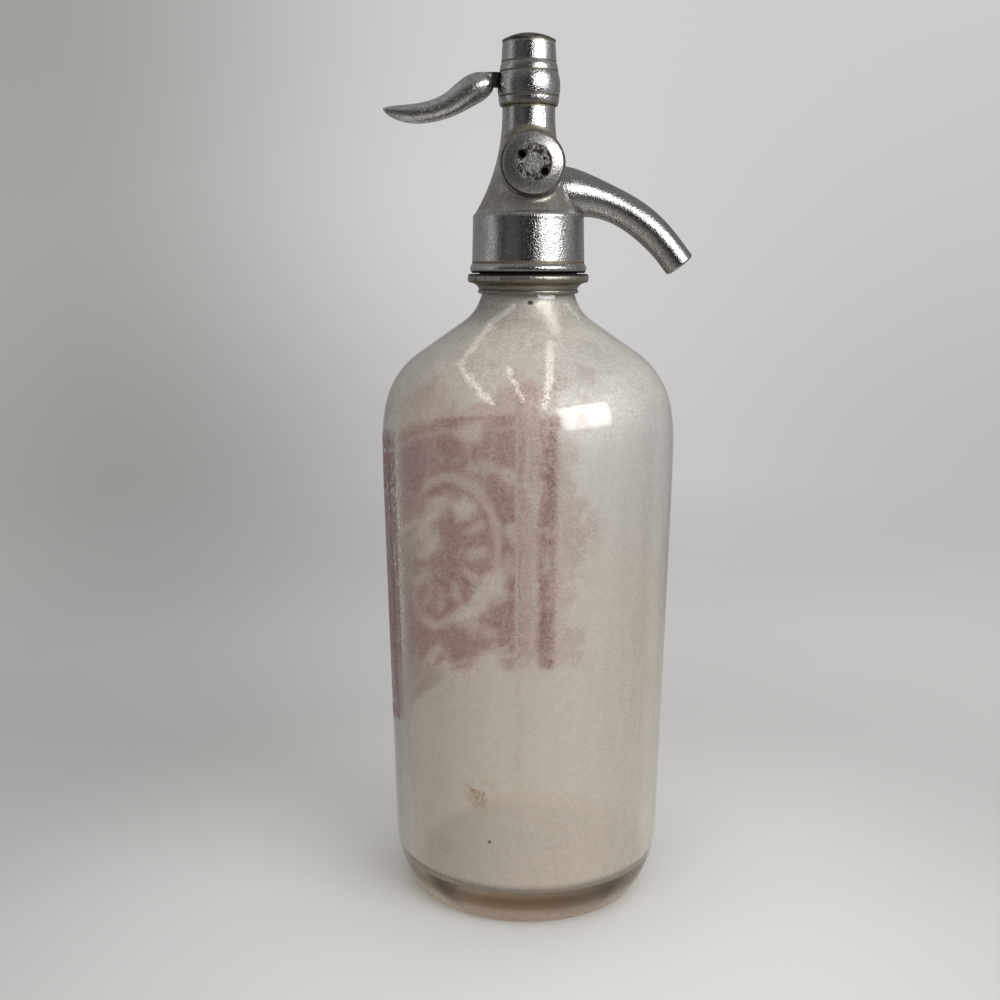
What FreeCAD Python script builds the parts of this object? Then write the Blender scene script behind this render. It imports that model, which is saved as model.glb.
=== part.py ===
import FreeCAD, Part
import math
import os

# Soda siphon: a thick glass bottle closed by a plated valve head with a curved spout and a
# horn-shaped lever.
# Frame: millimetres, +Z up along the bottle's axis, +X towards the spout, -Y towards the side
# plug. The origin is the centre of the foot ring, on the surface that the bottle stands on.

V = FreeCAD.Vector
X_AXIS = V(1, 0, 0)
Y_AXIS = V(0, 1, 0)
Z_AXIS = V(0, 0, 1)

# ---------------------------------------------------------------- driving dimensions: fits
RUNNING_FIT = 0.05         # radial clearance of a sliding or turning piece
SEATED_FIT = 0.03          # radial clearance of a piece screwed or pushed into its seat
LOOSE_FIT = 0.30           # gap between glass and metal, and between curved faces
OPEN_GAP = 0.60            # room that a moving piece keeps from the walls around it
TOUCH = 0.01               # distance under which two points count as one

# ---------------------------------------------------------------- driving dimensions: bottle
BOTTLE_H = 239.6           # foot to the top of the lip
BOTTLE_R = 52.3            # at the widest girth, under the shoulder
GLASS_WALL = 5.4
WALL_TAPER = 1.38          # degrees that the wall leans out on its way up
GIRTH_ARC = 830.0          # radius that ends the taper at the widest girth
FLOOR_T = 14.0             # thick glass floor
FLOOR_CORNER = 5.0         # rounding inside, between floor and wall
HEEL_EDGE = 3.0            # small rounding between the foot and the heel
HEEL_ARC = 38.0            # large rounding between the heel and the wall
HEEL_ANGLE = 54.7          # degrees above level where the two roundings meet
FOOT_RING_W = 5.0
PUSH_UP_H = 2.4            # hollow inside the foot ring
SHOULDER_BROAD = 61.6      # radius of the shoulder next to the girth
SHOULDER_BROAD_TURN = 11.9
SHOULDER_TIGHT = 29.8      # radius of the rounded corner of the shoulder
SHOULDER_TURN = 55.3       # degrees from upright of the shoulder's straight slope
SHOULDER_COVE = 15.4       # hollow radius between the slope and the neck
NECK_R = 16.25
NECK_BORE_R = 9.6
NECK_LEN = 17.5            # lip top down to the shoulder's cove
GROOVE_DEPTH = 2.6         # of the groove that the collar grips
GROOVE_H = 8.7             # lip down to the middle of the groove's slope
GROOVE_SLOPE_H = 2.6
LIP_H = 5.4
LIP_R = 15.3
LIP_ROUND = 1.2

# ---------------------------------------------------------------- driving dimensions: dip tube
TUBE_R = 4.5
TUBE_BORE_R = 2.6
TUBE_FOOT_GAP = 4.5        # room for the water between the floor and the tube
GROMMET_T = 1.2
GROMMET_H = 14.0
FERRULE_T = 1.2
FERRULE_H = 17.0
FERRULE_FLANGE_R = 11.5
FERRULE_FLANGE_T = 1.3

# ---------------------------------------------------------------- driving dimensions: neck joint
GASKET_T = 2.0
GASKET_BORE_R = 7.6
COLLAR_FLANGE_R = 21.45
COLLAR_FLANGE_H = 3.0
COLLAR_FLANGE_OUT = 0.6    # how far the flange's edge is rounded out
COLLAR_COVE_IN = 0.7       # hollow between the flange and the foot bead
COLLAR_FOOT_R = 17.4
COLLAR_FOOT_H = 6.8        # flange top down to the collar's foot
COLLAR_BEAD_H = 1.4
COLLAR_BEAD_OUT = 0.42
COLLAR_THREAD_R = 17.3
COLLAR_SPLIT_AZIMUTH = 207.0
COLLAR_SAW_CUT = 0.4
COLLAR_NOTCH_AZIMUTH = 227.0
COLLAR_NOTCH_W = 8.6
COLLAR_NOTCH_DEPTH = 0.5
COLLAR_NOTCH_H = 1.5

# ---------------------------------------------------------------- driving dimensions: head body
SKIRT_R = 19.45            # at the top of the skirt
SKIRT_SPREAD = 0.35        # how much wider the skirt is at its foot
SKIRT_DEPTH = 15.3         # gasket seat down to the skirt's edge
SKIRT_BEAD_H = 3.2
SKIRT_BEAD_OUT = 0.75
CROWN_H = 4.4              # gasket seat up to the corner of the skirt
CROWN_ROUND = 1.1
CROWN_BULGE = 0.35         # how far the rounded corner stands out of its chord
FLARE_FOOT_R = 18.5        # where the flare meets the crown's corner
FLARE_H = 35.0
BARREL_R = 9.15
BARREL_H = 2.1
SPIGOT_R = 8.0             # threaded spigot that takes the bonnet
SPIGOT_H = 4.0
BOSS_R = 11.2              # round boss of the side plug
BOSS_REACH = 16.8          # axis to the boss's face
BOSS_RISE = 16.7           # crown up to the boss's axis
CHAMBER_R = 6.6
CHAMBER_H = 22.0           # valve chamber, from the seat's socket to its domed top

# ---------------------------------------------------------------- driving dimensions: side plug
PLUG_R = 10.4
PLUG_FLANGE_T = 2.0
PLUG_CROWN = 0.9           # how far the face bulges
PLUG_EDGE_ROUND = 0.7
PLUG_SHANK_R = 7.0
PLUG_SHANK_L = 8.0
PLUG_CUP_R = 4.8
PLUG_EDGE_BULGE = 0.2
PLUG_FACE_R = 6.1
PLUG_FACE_DEPTH = 0.35
PLUG_HOLE_R = 1.15
PLUG_HOLE_DEPTH = 2.6
PLUG_HOLE_SPACING = 9.5
PLUG_HOLE_SLOPE = 36.0     # degrees that the line of the two holes falls
PLUG_WASHER_T = 0.6
PLUG_WASHER_R = 10.9

# ---------------------------------------------------------------- driving dimensions: spout
SPOUT_RISE = 8.1           # crown up to the spout's axis at the body
SPOUT_START_X = 9.4        # where the spout's axis starts to bend
SPOUT_ARC = 51.5
SPOUT_TURN = 52.0          # degrees from level to the outlet
SPOUT_END_L = 6.8
SPOUT_END_R = 5.55
SPOUT_BORE_R = 4.0
SPOUT_RIM_ROUND = 0.8
SPOUT_SPIGOT_R = 5.2
# outer radius of the tapering horn at shares of its bend
SPOUT_STATIONS = ((0.0, 9.0), (0.19, 7.9), (0.31, 6.75), (0.43, 6.1), (0.65, 5.9), (1.0, 5.55))

# ---------------------------------------------------------------- driving dimensions: valve
SEAT_FLOOR_T = 2.3         # head floor under the valve seat
SEAT_R = 5.4
SEAT_H = 4.4
SEAT_SUNK = 2.4            # depth of the seat's socket under the chamber
SEAT_BORE_R = 2.9
SEAT_LIP_R = 3.8           # at the foot of the raised lip
SEAT_CREST_R = 3.4
SEAT_LIP_H = 0.8
DISC_R = 4.0
DISC_T = 2.2
DISC_PROUD = 0.8           # how far the rubber disc stands out of its holder
HOLDER_R = 4.9
HOLDER_H = 6.8
HOLDER_ROUND = 0.8
VALVE_SCREW_R = 1.2
VALVE_SCREW_HEAD_R = 2.3
VALVE_SCREW_HEAD_H = 1.0
VALVE_SCREW_END_GAP = 0.4  # between the screw and the stem's spigot
STEM_R = 2.0
STEM_SPIGOT_R = 1.6
STEM_SPIGOT_L = 2.4
PACKING_BOX_R = 4.6
PACKING_DEPTH = 6.5        # bonnet's lower edge down to the packing's foot
PACKING_H = 3.8
GLAND_SLOT_W = 1.4
GLAND_SLOT_DEPTH = 1.2
GLAND_TOP_GAP = 0.3        # below the spigot's top

# ---------------------------------------------------------------- driving dimensions: bonnet
BONNET_H = 21.1
BONNET_EDGE_R = 9.95       # lower edge
BONNET_LOW_LINE_R = 10.5
BONNET_BULGE_R = 10.85
BONNET_MID_LINE_R = 10.1
BONNET_TOP_LINE_R = 9.5
BONNET_TOP_R = 9.1
BONNET_LOW_BAND_H = 3.0    # lower edge up to the low line
BONNET_BULGE_H = 8.2       # low line up to the middle line
BONNET_BAND_H = 3.2        # middle line up to the top line
BONNET_BAND_OUT = 0.15     # how far the two bands bulge
BONNET_LINE_DEPTH = 0.3
BONNET_LINE_H = 0.4
BONNET_BORE_R = 6.0

# ---------------------------------------------------------------- driving dimensions: top cap
CAP_R = 9.2
CAP_EDGE_T = 0.6
CAP_DOME_H = 2.4
CAP_SHANK_R = 7.4
CAP_SHANK_L = 4.7
CAP_POCKET_R = 4.5
CAP_POCKET_RISE = 0.2      # pocket's ceiling above the bonnet's top

# ---------------------------------------------------------------- driving dimensions: lever
PIVOT_RISE = 8.5           # bonnet's lower edge up to the pivot
PIVOT_X = -7.0
PIN_R = 1.2
PIN_BURIED = 4.6           # length of the pin in the front cheek
PIN_BACK_SUNK = 0.35       # how far the pin's end lies under the bonnet's back
LEVER_TURN = 20.0          # degrees from closed to fully open
TONGUE_T = 3.2
HUB_R = 2.5
NOSE_R = 2.2
NOSE_NECK_TOP = 2.0        # above the pivot
NOSE_NECK_BOTTOM = -0.4
TONGUE_ROOT_TOP = 2.6      # above the pivot, at the horn
TONGUE_ROOT_BOTTOM = -2.1
HORN_START_X = -12.9
HORN_START_RISE = -0.35    # of the horn's axis from the pivot
HORN_HEADING = 17.0        # degrees below level where the horn starts
HORN_DROP_ARC = 33.0
HORN_DROP_TURN = 19.5
HORN_SWEEP_ARC = 30.0
HORN_SWEEP_TURN = 55.0
HORN_WIDTH_SHARE = 1.06    # width over height of the horn's section
# half height of the horn's section at shares of its length
HORN_STATIONS = (
    (0.0, 2.3), (0.035, 3.65), (0.10, 4.65), (0.18, 4.95), (0.29, 4.6), (0.41, 4.05),
    (0.55, 3.7), (0.70, 3.4), (0.82, 2.85), (0.91, 2.05), (0.97, 1.1), (1.0, 0.35),
)

# ---------------------------------------------------------------- driving dimensions: piston
PISTON_HEAD_R = 4.0
PISTON_WEB = 1.2           # metal above and below the lever's window
WINDOW_SIDE_GAP = 0.2
WINDOW_NOSE_GAP = 0.1
PISTON_FLANGE_T = 1.2
PISTON_NUB_R = 1.9
PISTON_NUB_H = 1.6
WASHER_T = 0.5
WASHER_R = 5.4
SPRING_R = 3.3
SPRING_WIRE_R = 0.38
SPRING_TURNS = 5

# ---------------------------------------------------------------- levels worked out from them
LIP_Z = BOTTLE_H
NECK_FOOT_Z = LIP_Z - NECK_LEN
GASKET_SEAT_Z = LIP_Z + GASKET_T
SKIRT_Z = GASKET_SEAT_Z - SKIRT_DEPTH
COLLAR_TOP_Z = SKIRT_Z - LOOSE_FIT
CROWN_Z = GASKET_SEAT_Z + CROWN_H
BARREL_Z = CROWN_Z + FLARE_H
BONNET_Z = BARREL_Z + BARREL_H
BONNET_TOP_Z = BONNET_Z + BONNET_H
FERRULE_TOP_Z = GASKET_SEAT_Z + FERRULE_FLANGE_T
SEAT_Z = FERRULE_TOP_Z + SEAT_FLOOR_T
SEAT_TOP_Z = SEAT_Z + SEAT_H
VALVE_Z = SEAT_TOP_Z + SEAT_LIP_H          # rubber disc on the seat's lip
HOLDER_Z = VALVE_Z + DISC_PROUD
STEM_Z = HOLDER_Z + HOLDER_H
VALVE_SCREW_TOP_Z = STEM_Z - STEM_SPIGOT_L - VALVE_SCREW_END_GAP
BOSS_Z = CROWN_Z + BOSS_RISE
SPOUT_Z = CROWN_Z + SPOUT_RISE
PACKING_Z = BONNET_Z - PACKING_DEPTH
GLAND_Z = PACKING_Z + PACKING_H
SPIGOT_TOP_Z = BONNET_Z + SPIGOT_H
PIVOT_Z = BONNET_Z + PIVOT_RISE
WINDOW_HALF_H = NOSE_R + WINDOW_NOSE_GAP
PISTON_FLANGE_Z = PIVOT_Z + WINDOW_HALF_H + PISTON_WEB
PISTON_TOP_Z = PISTON_FLANGE_Z + PISTON_FLANGE_T
SPRING_FOOT_Z = PISTON_TOP_Z + WASHER_T
SPRING_TOP_Z = BONNET_TOP_Z + CAP_POCKET_RISE
GROOVE_R = NECK_R - GROOVE_DEPTH
GROOVE_FOOT_Z = LIP_Z - LIP_H - GROOVE_H - GROOVE_SLOPE_H / 2
GROOVE_Z = GROOVE_FOOT_Z + GROOVE_SLOPE_H
SKIRT_THREAD_R = COLLAR_THREAD_R + SEATED_FIT


def rise(angle):
    return math.sin(math.radians(angle))


def reach(angle):
    return math.cos(math.radians(angle))


class Outline:
    """A chain of lines and arcs in the plane of radius and height, drawn like a pen's path."""

    def __init__(self, r, z, heading=90.0):
        self.start = V(r, 0, z)
        self.at = self.start
        self.heading = heading
        self.edges = []

    def to(self, r, z):
        """Draws a line to a point."""
        end = V(r, 0, z)
        self.edges.append(Part.LineSegment(self.at, end).toShape())
        self.heading = math.degrees(math.atan2(end.z - self.at.z, end.x - self.at.x))
        self.at = end
        return self

    def run(self, length):
        """Draws a line straight ahead."""
        return self.to(self.at.x + length * reach(self.heading),
                       self.at.z + length * rise(self.heading))

    def turn(self, radius, degrees):
        """Draws an arc tangent to the last stroke, to the left where degrees is positive."""
        side = math.copysign(radius, degrees)
        centre = self.at + V(-side * rise(self.heading), 0, side * reach(self.heading))

        def on_arc(share):
            ahead = self.heading + degrees * share
            return centre + V(side * rise(ahead), 0, -side * reach(ahead))

        middle, end = on_arc(0.5), on_arc(1.0)
        self.edges.append(Part.Arc(self.at, middle, end).toShape())
        self.at = end
        self.heading += degrees
        return self

    def bow(self, r, z, out):
        """Draws an arc to a point, bowed by out to the right of the straight line."""
        end = V(r, 0, z)
        chord = end - self.at
        across = V(chord.z, 0, -chord.x).normalize()
        middle = self.at + chord * 0.5 + across * out
        self.edges.append(Part.Arc(self.at, middle, end).toShape())
        self.at = end
        return self

    def dome(self, height):
        """Draws an arc up to the axis, where it ends level."""
        arc = (self.at.x ** 2 + height ** 2) / (2 * height)
        half_turn = math.degrees(math.asin(self.at.x / arc))
        self.heading = 180.0 - half_turn
        return self.turn(arc, half_turn)

    def face(self):
        """Closes the outline and fills it."""
        if self.at.distanceToPoint(self.start) > TOUCH:
            self.to(self.start.x, self.start.z)
        return Part.Face(Part.Wire(self.edges))

    def turned(self):
        """Turns the outline round the vertical axis."""
        return self.face().revolve(V(0, 0, 0), Z_AXIS, 360)


def rod(radius, z0, z1):
    """A round bar along the vertical axis."""
    return Part.makeCylinder(radius, z1 - z0, V(0, 0, z0))


def tube(r_out, r_in, z0, z1):
    """A round tube along the vertical axis."""
    return rod(r_out, z0, z1).cut(rod(r_in, z0, z1))


def side_rod(radius, axis, near, far, x=0.0, z=0.0):
    """A round bar along a level axis, from near to far along it."""
    return Part.makeCylinder(radius, far - near, V(x, 0, z) + axis * near, axis)


def block(x0, x1, y0, y1, z0, z1):
    """A box between two corners."""
    return Part.makeBox(x1 - x0, y1 - y0, z1 - z0, V(x0, y0, z0))


def round_ring(shape, rounding, centre, ring_r):
    """Rounds the circular edge that has that centre and radius."""
    rings = [edge for edge in shape.Edges
             if isinstance(edge.Curve, Part.Circle)
             and edge.Curve.Center.distanceToPoint(centre) < TOUCH
             and abs(edge.Curve.Radius - ring_r) < TOUCH]
    return shape.makeFillet(rounding, rings)


# ---------------------------------------------------------------- glass

def slope_length(wide_r, neck_r, broad, tight, cove):
    """Length of the shoulder's straight slope between its arcs."""
    arcs = (broad * (1 - reach(SHOULDER_BROAD_TURN))
            + tight * (reach(SHOULDER_BROAD_TURN) - reach(SHOULDER_TURN))
            + cove * (1 - reach(SHOULDER_TURN)))
    return (wide_r - neck_r - arcs) / rise(SHOULDER_TURN)


def girth_level():
    """Height of the widest girth, worked down from the neck."""
    slope = slope_length(BOTTLE_R, NECK_R, SHOULDER_BROAD, SHOULDER_TIGHT, SHOULDER_COVE)
    height = (SHOULDER_BROAD * rise(SHOULDER_BROAD_TURN)
              + SHOULDER_TIGHT * (rise(SHOULDER_TURN) - rise(SHOULDER_BROAD_TURN))
              + slope * reach(SHOULDER_TURN)
              + SHOULDER_COVE * rise(SHOULDER_TURN))
    return NECK_FOOT_Z - height


def wall_radius(z, inset):
    """Radius of the tapering wall at a height, inset from the outside."""
    arc = GIRTH_ARC - inset
    top_r = BOTTLE_R - inset - arc * (1 - reach(WALL_TAPER))
    top_z = girth_level() - arc * rise(WALL_TAPER)
    return top_r - (top_z - z) * math.tan(math.radians(WALL_TAPER))


def draw_wall_and_shoulder(outline, inset, neck_r):
    """Carries an outline up the wall, over the shoulder and into the neck."""
    arc = GIRTH_ARC - inset
    broad, tight = SHOULDER_BROAD - inset, SHOULDER_TIGHT - inset
    cove = SHOULDER_COVE + inset
    wide_r = BOTTLE_R - inset
    outline.to(wide_r - arc * (1 - reach(WALL_TAPER)), girth_level() - arc * rise(WALL_TAPER))
    outline.turn(arc, WALL_TAPER)
    outline.turn(broad, SHOULDER_BROAD_TURN)
    outline.turn(tight, SHOULDER_TURN - SHOULDER_BROAD_TURN)
    outline.run(slope_length(wide_r, neck_r, broad, tight, cove))
    outline.turn(cove, -SHOULDER_TURN)
    return outline


def bottle():
    """Thick blown glass: foot ring, heel, tapering wall, shoulder, grooved neck and lip."""
    lean = 90.0 - WALL_TAPER
    heel_z = HEEL_EDGE * (1 - reach(HEEL_ANGLE)) + HEEL_ARC * (reach(HEEL_ANGLE) - reach(lean))
    foot_r = (wall_radius(heel_z, 0.0) - HEEL_EDGE * rise(HEEL_ANGLE)
              - HEEL_ARC * (rise(lean) - rise(HEEL_ANGLE)))
    outside = Outline(0, 0).to(foot_r, 0)
    outside.turn(HEEL_EDGE, HEEL_ANGLE).turn(HEEL_ARC, lean - HEEL_ANGLE)
    draw_wall_and_shoulder(outside, 0.0, NECK_R)
    outside.to(NECK_R, GROOVE_FOOT_Z).to(GROOVE_R, GROOVE_Z)
    outside.to(GROOVE_R, LIP_Z - LIP_H).to(LIP_R - LIP_ROUND, LIP_Z - LIP_H)
    outside.turn(LIP_ROUND, 90).to(LIP_R, LIP_Z - LIP_ROUND).turn(LIP_ROUND, 90)
    glass = outside.to(0, LIP_Z).turned()

    inside = Outline(0, FLOOR_T)
    corner_z = FLOOR_T + FLOOR_CORNER * (1 - reach(lean))
    inside.to(wall_radius(corner_z, GLASS_WALL) - FLOOR_CORNER * rise(lean), FLOOR_T)
    inside.turn(FLOOR_CORNER, lean)
    draw_wall_and_shoulder(inside, GLASS_WALL, NECK_BORE_R)
    hollow = inside.to(NECK_BORE_R, LIP_Z).to(0, LIP_Z).turned()

    ring_in = foot_r - FOOT_RING_W
    push_up = Outline(0, 0).to(ring_in, 0).dome(PUSH_UP_H).turned()
    return glass.cut(hollow).cut(push_up)


def dip_tube():
    """Glass tube that brings the water up from the floor of the bottle."""
    return tube(TUBE_R, TUBE_BORE_R, FLOOR_T + TUBE_FOOT_GAP, FERRULE_TOP_Z)


# ---------------------------------------------------------------- neck joint

def tube_grommet():
    """Rubber sleeve that grips the dip tube in its ferrule."""
    r_in = TUBE_R + SEATED_FIT
    return tube(r_in + GROMMET_T, r_in, FERRULE_TOP_Z - GROMMET_H, FERRULE_TOP_Z)


def tube_ferrule():
    """Flanged metal sleeve that carries the dip tube, held between gasket and head."""
    r_in = TUBE_R + SEATED_FIT * 2 + GROMMET_T
    barrel = tube(r_in + FERRULE_T, r_in, FERRULE_TOP_Z - FERRULE_H, FERRULE_TOP_Z)
    return barrel.fuse(tube(FERRULE_FLANGE_R, r_in, GASKET_SEAT_Z, FERRULE_TOP_Z)).removeSplitter()


def head_gasket():
    """Rubber ring between the bottle's lip and the head."""
    return tube(LIP_R, GASKET_BORE_R, LIP_Z, GASKET_SEAT_Z)


def collar_ring():
    """The whole collar: moulded flange, threaded sleeve and a bore that follows the neck."""
    foot_z = COLLAR_TOP_Z - COLLAR_FOOT_H
    edge_r = COLLAR_FLANGE_R - COLLAR_FLANGE_OUT
    bore_r = NECK_R + LOOSE_FIT * 2
    grip_r = GROOVE_R + LOOSE_FIT
    grip_top_z = LIP_Z - LIP_H - LOOSE_FIT
    ring = Outline(bore_r, foot_z).to(COLLAR_FOOT_R, foot_z)
    ring.bow(COLLAR_FOOT_R, foot_z + COLLAR_BEAD_H, COLLAR_BEAD_OUT)
    ring.bow(edge_r, COLLAR_TOP_Z - COLLAR_FLANGE_H, -COLLAR_COVE_IN)
    ring.bow(edge_r, COLLAR_TOP_Z, COLLAR_FLANGE_OUT)
    ring.to(COLLAR_THREAD_R, COLLAR_TOP_Z).to(COLLAR_THREAD_R, grip_top_z)
    ring.to(grip_r, grip_top_z).to(grip_r, GROOVE_Z + LOOSE_FIT)
    ring.to(bore_r, GROOVE_FOOT_Z)
    return ring.turned()


def collar_halves():
    """The collar cut in two, so that it can close round the neck, with a spanner notch each."""
    ring = collar_ring()
    notch_low = COLLAR_TOP_Z - COLLAR_FLANGE_H * 0.5 - COLLAR_NOTCH_H * 0.5
    notch_r = COLLAR_FLANGE_R - COLLAR_NOTCH_DEPTH
    span = COLLAR_FLANGE_R * 2
    for azimuth in (COLLAR_NOTCH_AZIMUTH, COLLAR_NOTCH_AZIMUTH - 180.0):
        notch = block(notch_r, span, -COLLAR_NOTCH_W / 2, COLLAR_NOTCH_W / 2,
                      notch_low, notch_low + COLLAR_NOTCH_H)
        notch.rotate(V(0, 0, 0), Z_AXIS, azimuth)
        ring = ring.cut(notch)
    halves = []
    for side in (0.0, 180.0):
        keep = block(-span, span, COLLAR_SAW_CUT / 2, span, 0, BONNET_TOP_Z)
        keep.rotate(V(0, 0, 0), Z_AXIS, COLLAR_SPLIT_AZIMUTH + side)
        halves.append(ring.common(keep))
    return halves


# ---------------------------------------------------------------- head body and what it carries

def head_form():
    """The head body's outside, solid: beaded skirt, flare, barrel, spigot and side boss."""
    foot_r = SKIRT_R + SKIRT_SPREAD
    bead_top = SKIRT_Z + SKIRT_BEAD_H
    form = Outline(0, SKIRT_Z).to(foot_r, SKIRT_Z)
    form.bow(foot_r, bead_top, SKIRT_BEAD_OUT)
    form.to(SKIRT_R, CROWN_Z - CROWN_ROUND)
    form.bow(FLARE_FOOT_R, CROWN_Z + CROWN_ROUND, CROWN_BULGE)
    flare_rise = FLARE_H - CROWN_ROUND
    half_turn = math.degrees(math.atan((FLARE_FOOT_R - BARREL_R) / flare_rise))
    form.heading = 90.0 + 2 * half_turn
    form.turn(flare_rise / rise(2 * half_turn), -2 * half_turn)
    form.to(BARREL_R, BONNET_Z).to(SPIGOT_R, BONNET_Z)
    form.to(SPIGOT_R, SPIGOT_TOP_Z).to(0, SPIGOT_TOP_Z)
    boss = side_rod(BOSS_R, -Y_AXIS, 0, BOSS_REACH, z=BOSS_Z)
    return form.turned().fuse(boss).removeSplitter()


def head_body(form):
    """Valve housing: skirt over the neck, valve chamber, stem guide and packing box."""
    body = form.cut(rod(SKIRT_THREAD_R, SKIRT_Z, GASKET_SEAT_Z))
    body = body.cut(rod(FERRULE_FLANGE_R + SEATED_FIT, GASKET_SEAT_Z, FERRULE_TOP_Z))
    body = body.cut(rod(SEAT_BORE_R, FERRULE_TOP_Z, SEAT_Z))
    chamber_z = SEAT_Z + SEAT_SUNK
    body = body.cut(rod(SEAT_R + SEATED_FIT, SEAT_Z, chamber_z))
    dome = Part.makeSphere(CHAMBER_R, V(0, 0, chamber_z + CHAMBER_H - CHAMBER_R))
    body = body.cut(rod(CHAMBER_R, chamber_z, chamber_z + CHAMBER_H - CHAMBER_R).fuse(dome))
    body = body.cut(rod(STEM_R + LOOSE_FIT, SEAT_Z, SPIGOT_TOP_Z))
    body = body.cut(rod(PACKING_BOX_R, PACKING_Z, SPIGOT_TOP_Z))
    body = body.cut(side_rod(PLUG_SHANK_R + SEATED_FIT, -Y_AXIS, 0, BOSS_REACH, z=BOSS_Z))
    return body.cut(side_rod(SPOUT_SPIGOT_R + SEATED_FIT, X_AXIS, 0, SKIRT_R * 2, z=SPOUT_Z))


def spout_point(turned):
    """A point of the spout's axis after that many degrees of its bend."""
    return V(SPOUT_START_X + SPOUT_ARC * rise(turned), 0,
             SPOUT_Z - SPOUT_ARC * (1 - reach(turned)))


def spout(form):
    """Curved outlet, flared where it is brazed to the head, with a spigot into the chamber."""
    sections = []
    for share, radius in SPOUT_STATIONS:
        turned = SPOUT_TURN * share
        along = V(reach(turned), 0, -rise(turned))
        sections.append(Part.Wire(Part.makeCircle(radius, spout_point(turned), along)))
    horn = Part.makeLoft(sections, True, False)
    along = V(reach(SPOUT_TURN), 0, -rise(SPOUT_TURN))
    mouth = spout_point(SPOUT_TURN)
    end = Part.makeCylinder(SPOUT_END_R, SPOUT_END_L, mouth, along)
    outside = horn.fuse(end).cut(form)
    outside = max(outside.Solids, key=lambda solid: solid.Volume)
    spigot = side_rod(SPOUT_SPIGOT_R, X_AXIS, CHAMBER_R, SKIRT_R, z=SPOUT_Z)
    outside = outside.fuse(spigot)

    way_in = side_rod(SPOUT_BORE_R, X_AXIS, 0, SPOUT_START_X, z=SPOUT_Z)
    mouth_face = Part.Face(Part.Wire(Part.makeCircle(SPOUT_BORE_R, spout_point(0), X_AXIS)))
    bend = mouth_face.revolve(V(SPOUT_START_X, 0, SPOUT_Z - SPOUT_ARC), Y_AXIS, SPOUT_TURN)
    way_out = Part.makeCylinder(SPOUT_BORE_R, SPOUT_END_L, mouth, along)
    for bore in (way_in, bend, way_out):
        outside = outside.cut(bore)
    return round_ring(outside, SPOUT_RIM_ROUND, mouth + along * SPOUT_END_L, SPOUT_END_R)


def side_plug_washer():
    """Fibre ring under the plug's flange."""
    face = side_rod(PLUG_WASHER_R, -Y_AXIS, BOSS_REACH, BOSS_REACH + PLUG_WASHER_T, z=BOSS_Z)
    hole = side_rod(PLUG_SHANK_R + LOOSE_FIT, -Y_AXIS, BOSS_REACH, BOSS_REACH + PLUG_WASHER_T,
                    z=BOSS_Z)
    return face.cut(hole)


def side_plug():
    """Screwed plug that gives access to the valve: crowned flange, two spanner holes."""
    back = BOSS_REACH + PLUG_WASHER_T
    rim = back + PLUG_FLANGE_T
    shank_end = back - PLUG_WASHER_T - PLUG_SHANK_L
    profile = Outline(0, shank_end).to(PLUG_SHANK_R, shank_end).to(PLUG_SHANK_R, back)
    profile.to(PLUG_R, back).to(PLUG_R, rim - PLUG_EDGE_ROUND)
    profile.bow(PLUG_R - PLUG_EDGE_ROUND, rim, PLUG_EDGE_BULGE)
    plug = profile.dome(PLUG_CROWN).turned()
    face = rim + PLUG_CROWN * (1 - (PLUG_FACE_R / PLUG_R) ** 2) - PLUG_FACE_DEPTH
    plug = plug.cut(rod(PLUG_FACE_R, face, rim + PLUG_CROWN))
    plug = plug.cut(rod(PLUG_CUP_R, shank_end, back))
    for side in (-1, 1):
        hole = rod(PLUG_HOLE_R, face - PLUG_HOLE_DEPTH, rim + PLUG_CROWN)
        hole.translate(V(side * PLUG_HOLE_SPACING / 2, 0, 0))
        hole.rotate(V(0, 0, 0), Z_AXIS, -PLUG_HOLE_SLOPE)
        plug = plug.cut(hole)
    plug.rotate(V(0, 0, 0), X_AXIS, 90)
    plug.translate(V(0, 0, BOSS_Z))
    return plug


# ---------------------------------------------------------------- valve

def valve_seat():
    """Seat screwed into the head, with a raised lip that the rubber disc closes on."""
    ring = tube(SEAT_R, SEAT_BORE_R, SEAT_Z, SEAT_TOP_Z)
    lip = Outline(SEAT_BORE_R, SEAT_TOP_Z).to(SEAT_LIP_R, SEAT_TOP_Z)
    lip.to(SEAT_CREST_R, VALVE_Z).to(SEAT_BORE_R, VALVE_Z)
    return ring.fuse(lip.turned()).removeSplitter()


def valve_disc():
    """Rubber disc that closes the seat."""
    return tube(DISC_R, VALVE_SCREW_R + SEATED_FIT, VALVE_Z, VALVE_Z + DISC_T)


def valve_screw():
    """Screw that holds the rubber disc in its holder."""
    head = rod(VALVE_SCREW_HEAD_R, VALVE_Z - VALVE_SCREW_HEAD_H, VALVE_Z)
    return head.fuse(rod(VALVE_SCREW_R, VALVE_Z, VALVE_SCREW_TOP_Z)).removeSplitter()


def valve_holder():
    """Cup at the foot of the stem that carries the rubber disc."""
    cup = rod(HOLDER_R, HOLDER_Z, STEM_Z)
    cup = cup.cut(rod(DISC_R + SEATED_FIT, HOLDER_Z, VALVE_Z + DISC_T))
    cup = cup.cut(rod(VALVE_SCREW_R + SEATED_FIT, HOLDER_Z, VALVE_SCREW_TOP_Z))
    cup = cup.cut(rod(STEM_SPIGOT_R + SEATED_FIT, STEM_Z - STEM_SPIGOT_L, STEM_Z))
    return round_ring(cup, HOLDER_ROUND, V(0, 0, STEM_Z), HOLDER_R)


def stem_packing():
    """Rubber packing that seals the stem."""
    return tube(PACKING_BOX_R - SEATED_FIT, STEM_R + RUNNING_FIT, PACKING_Z, GLAND_Z)


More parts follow.
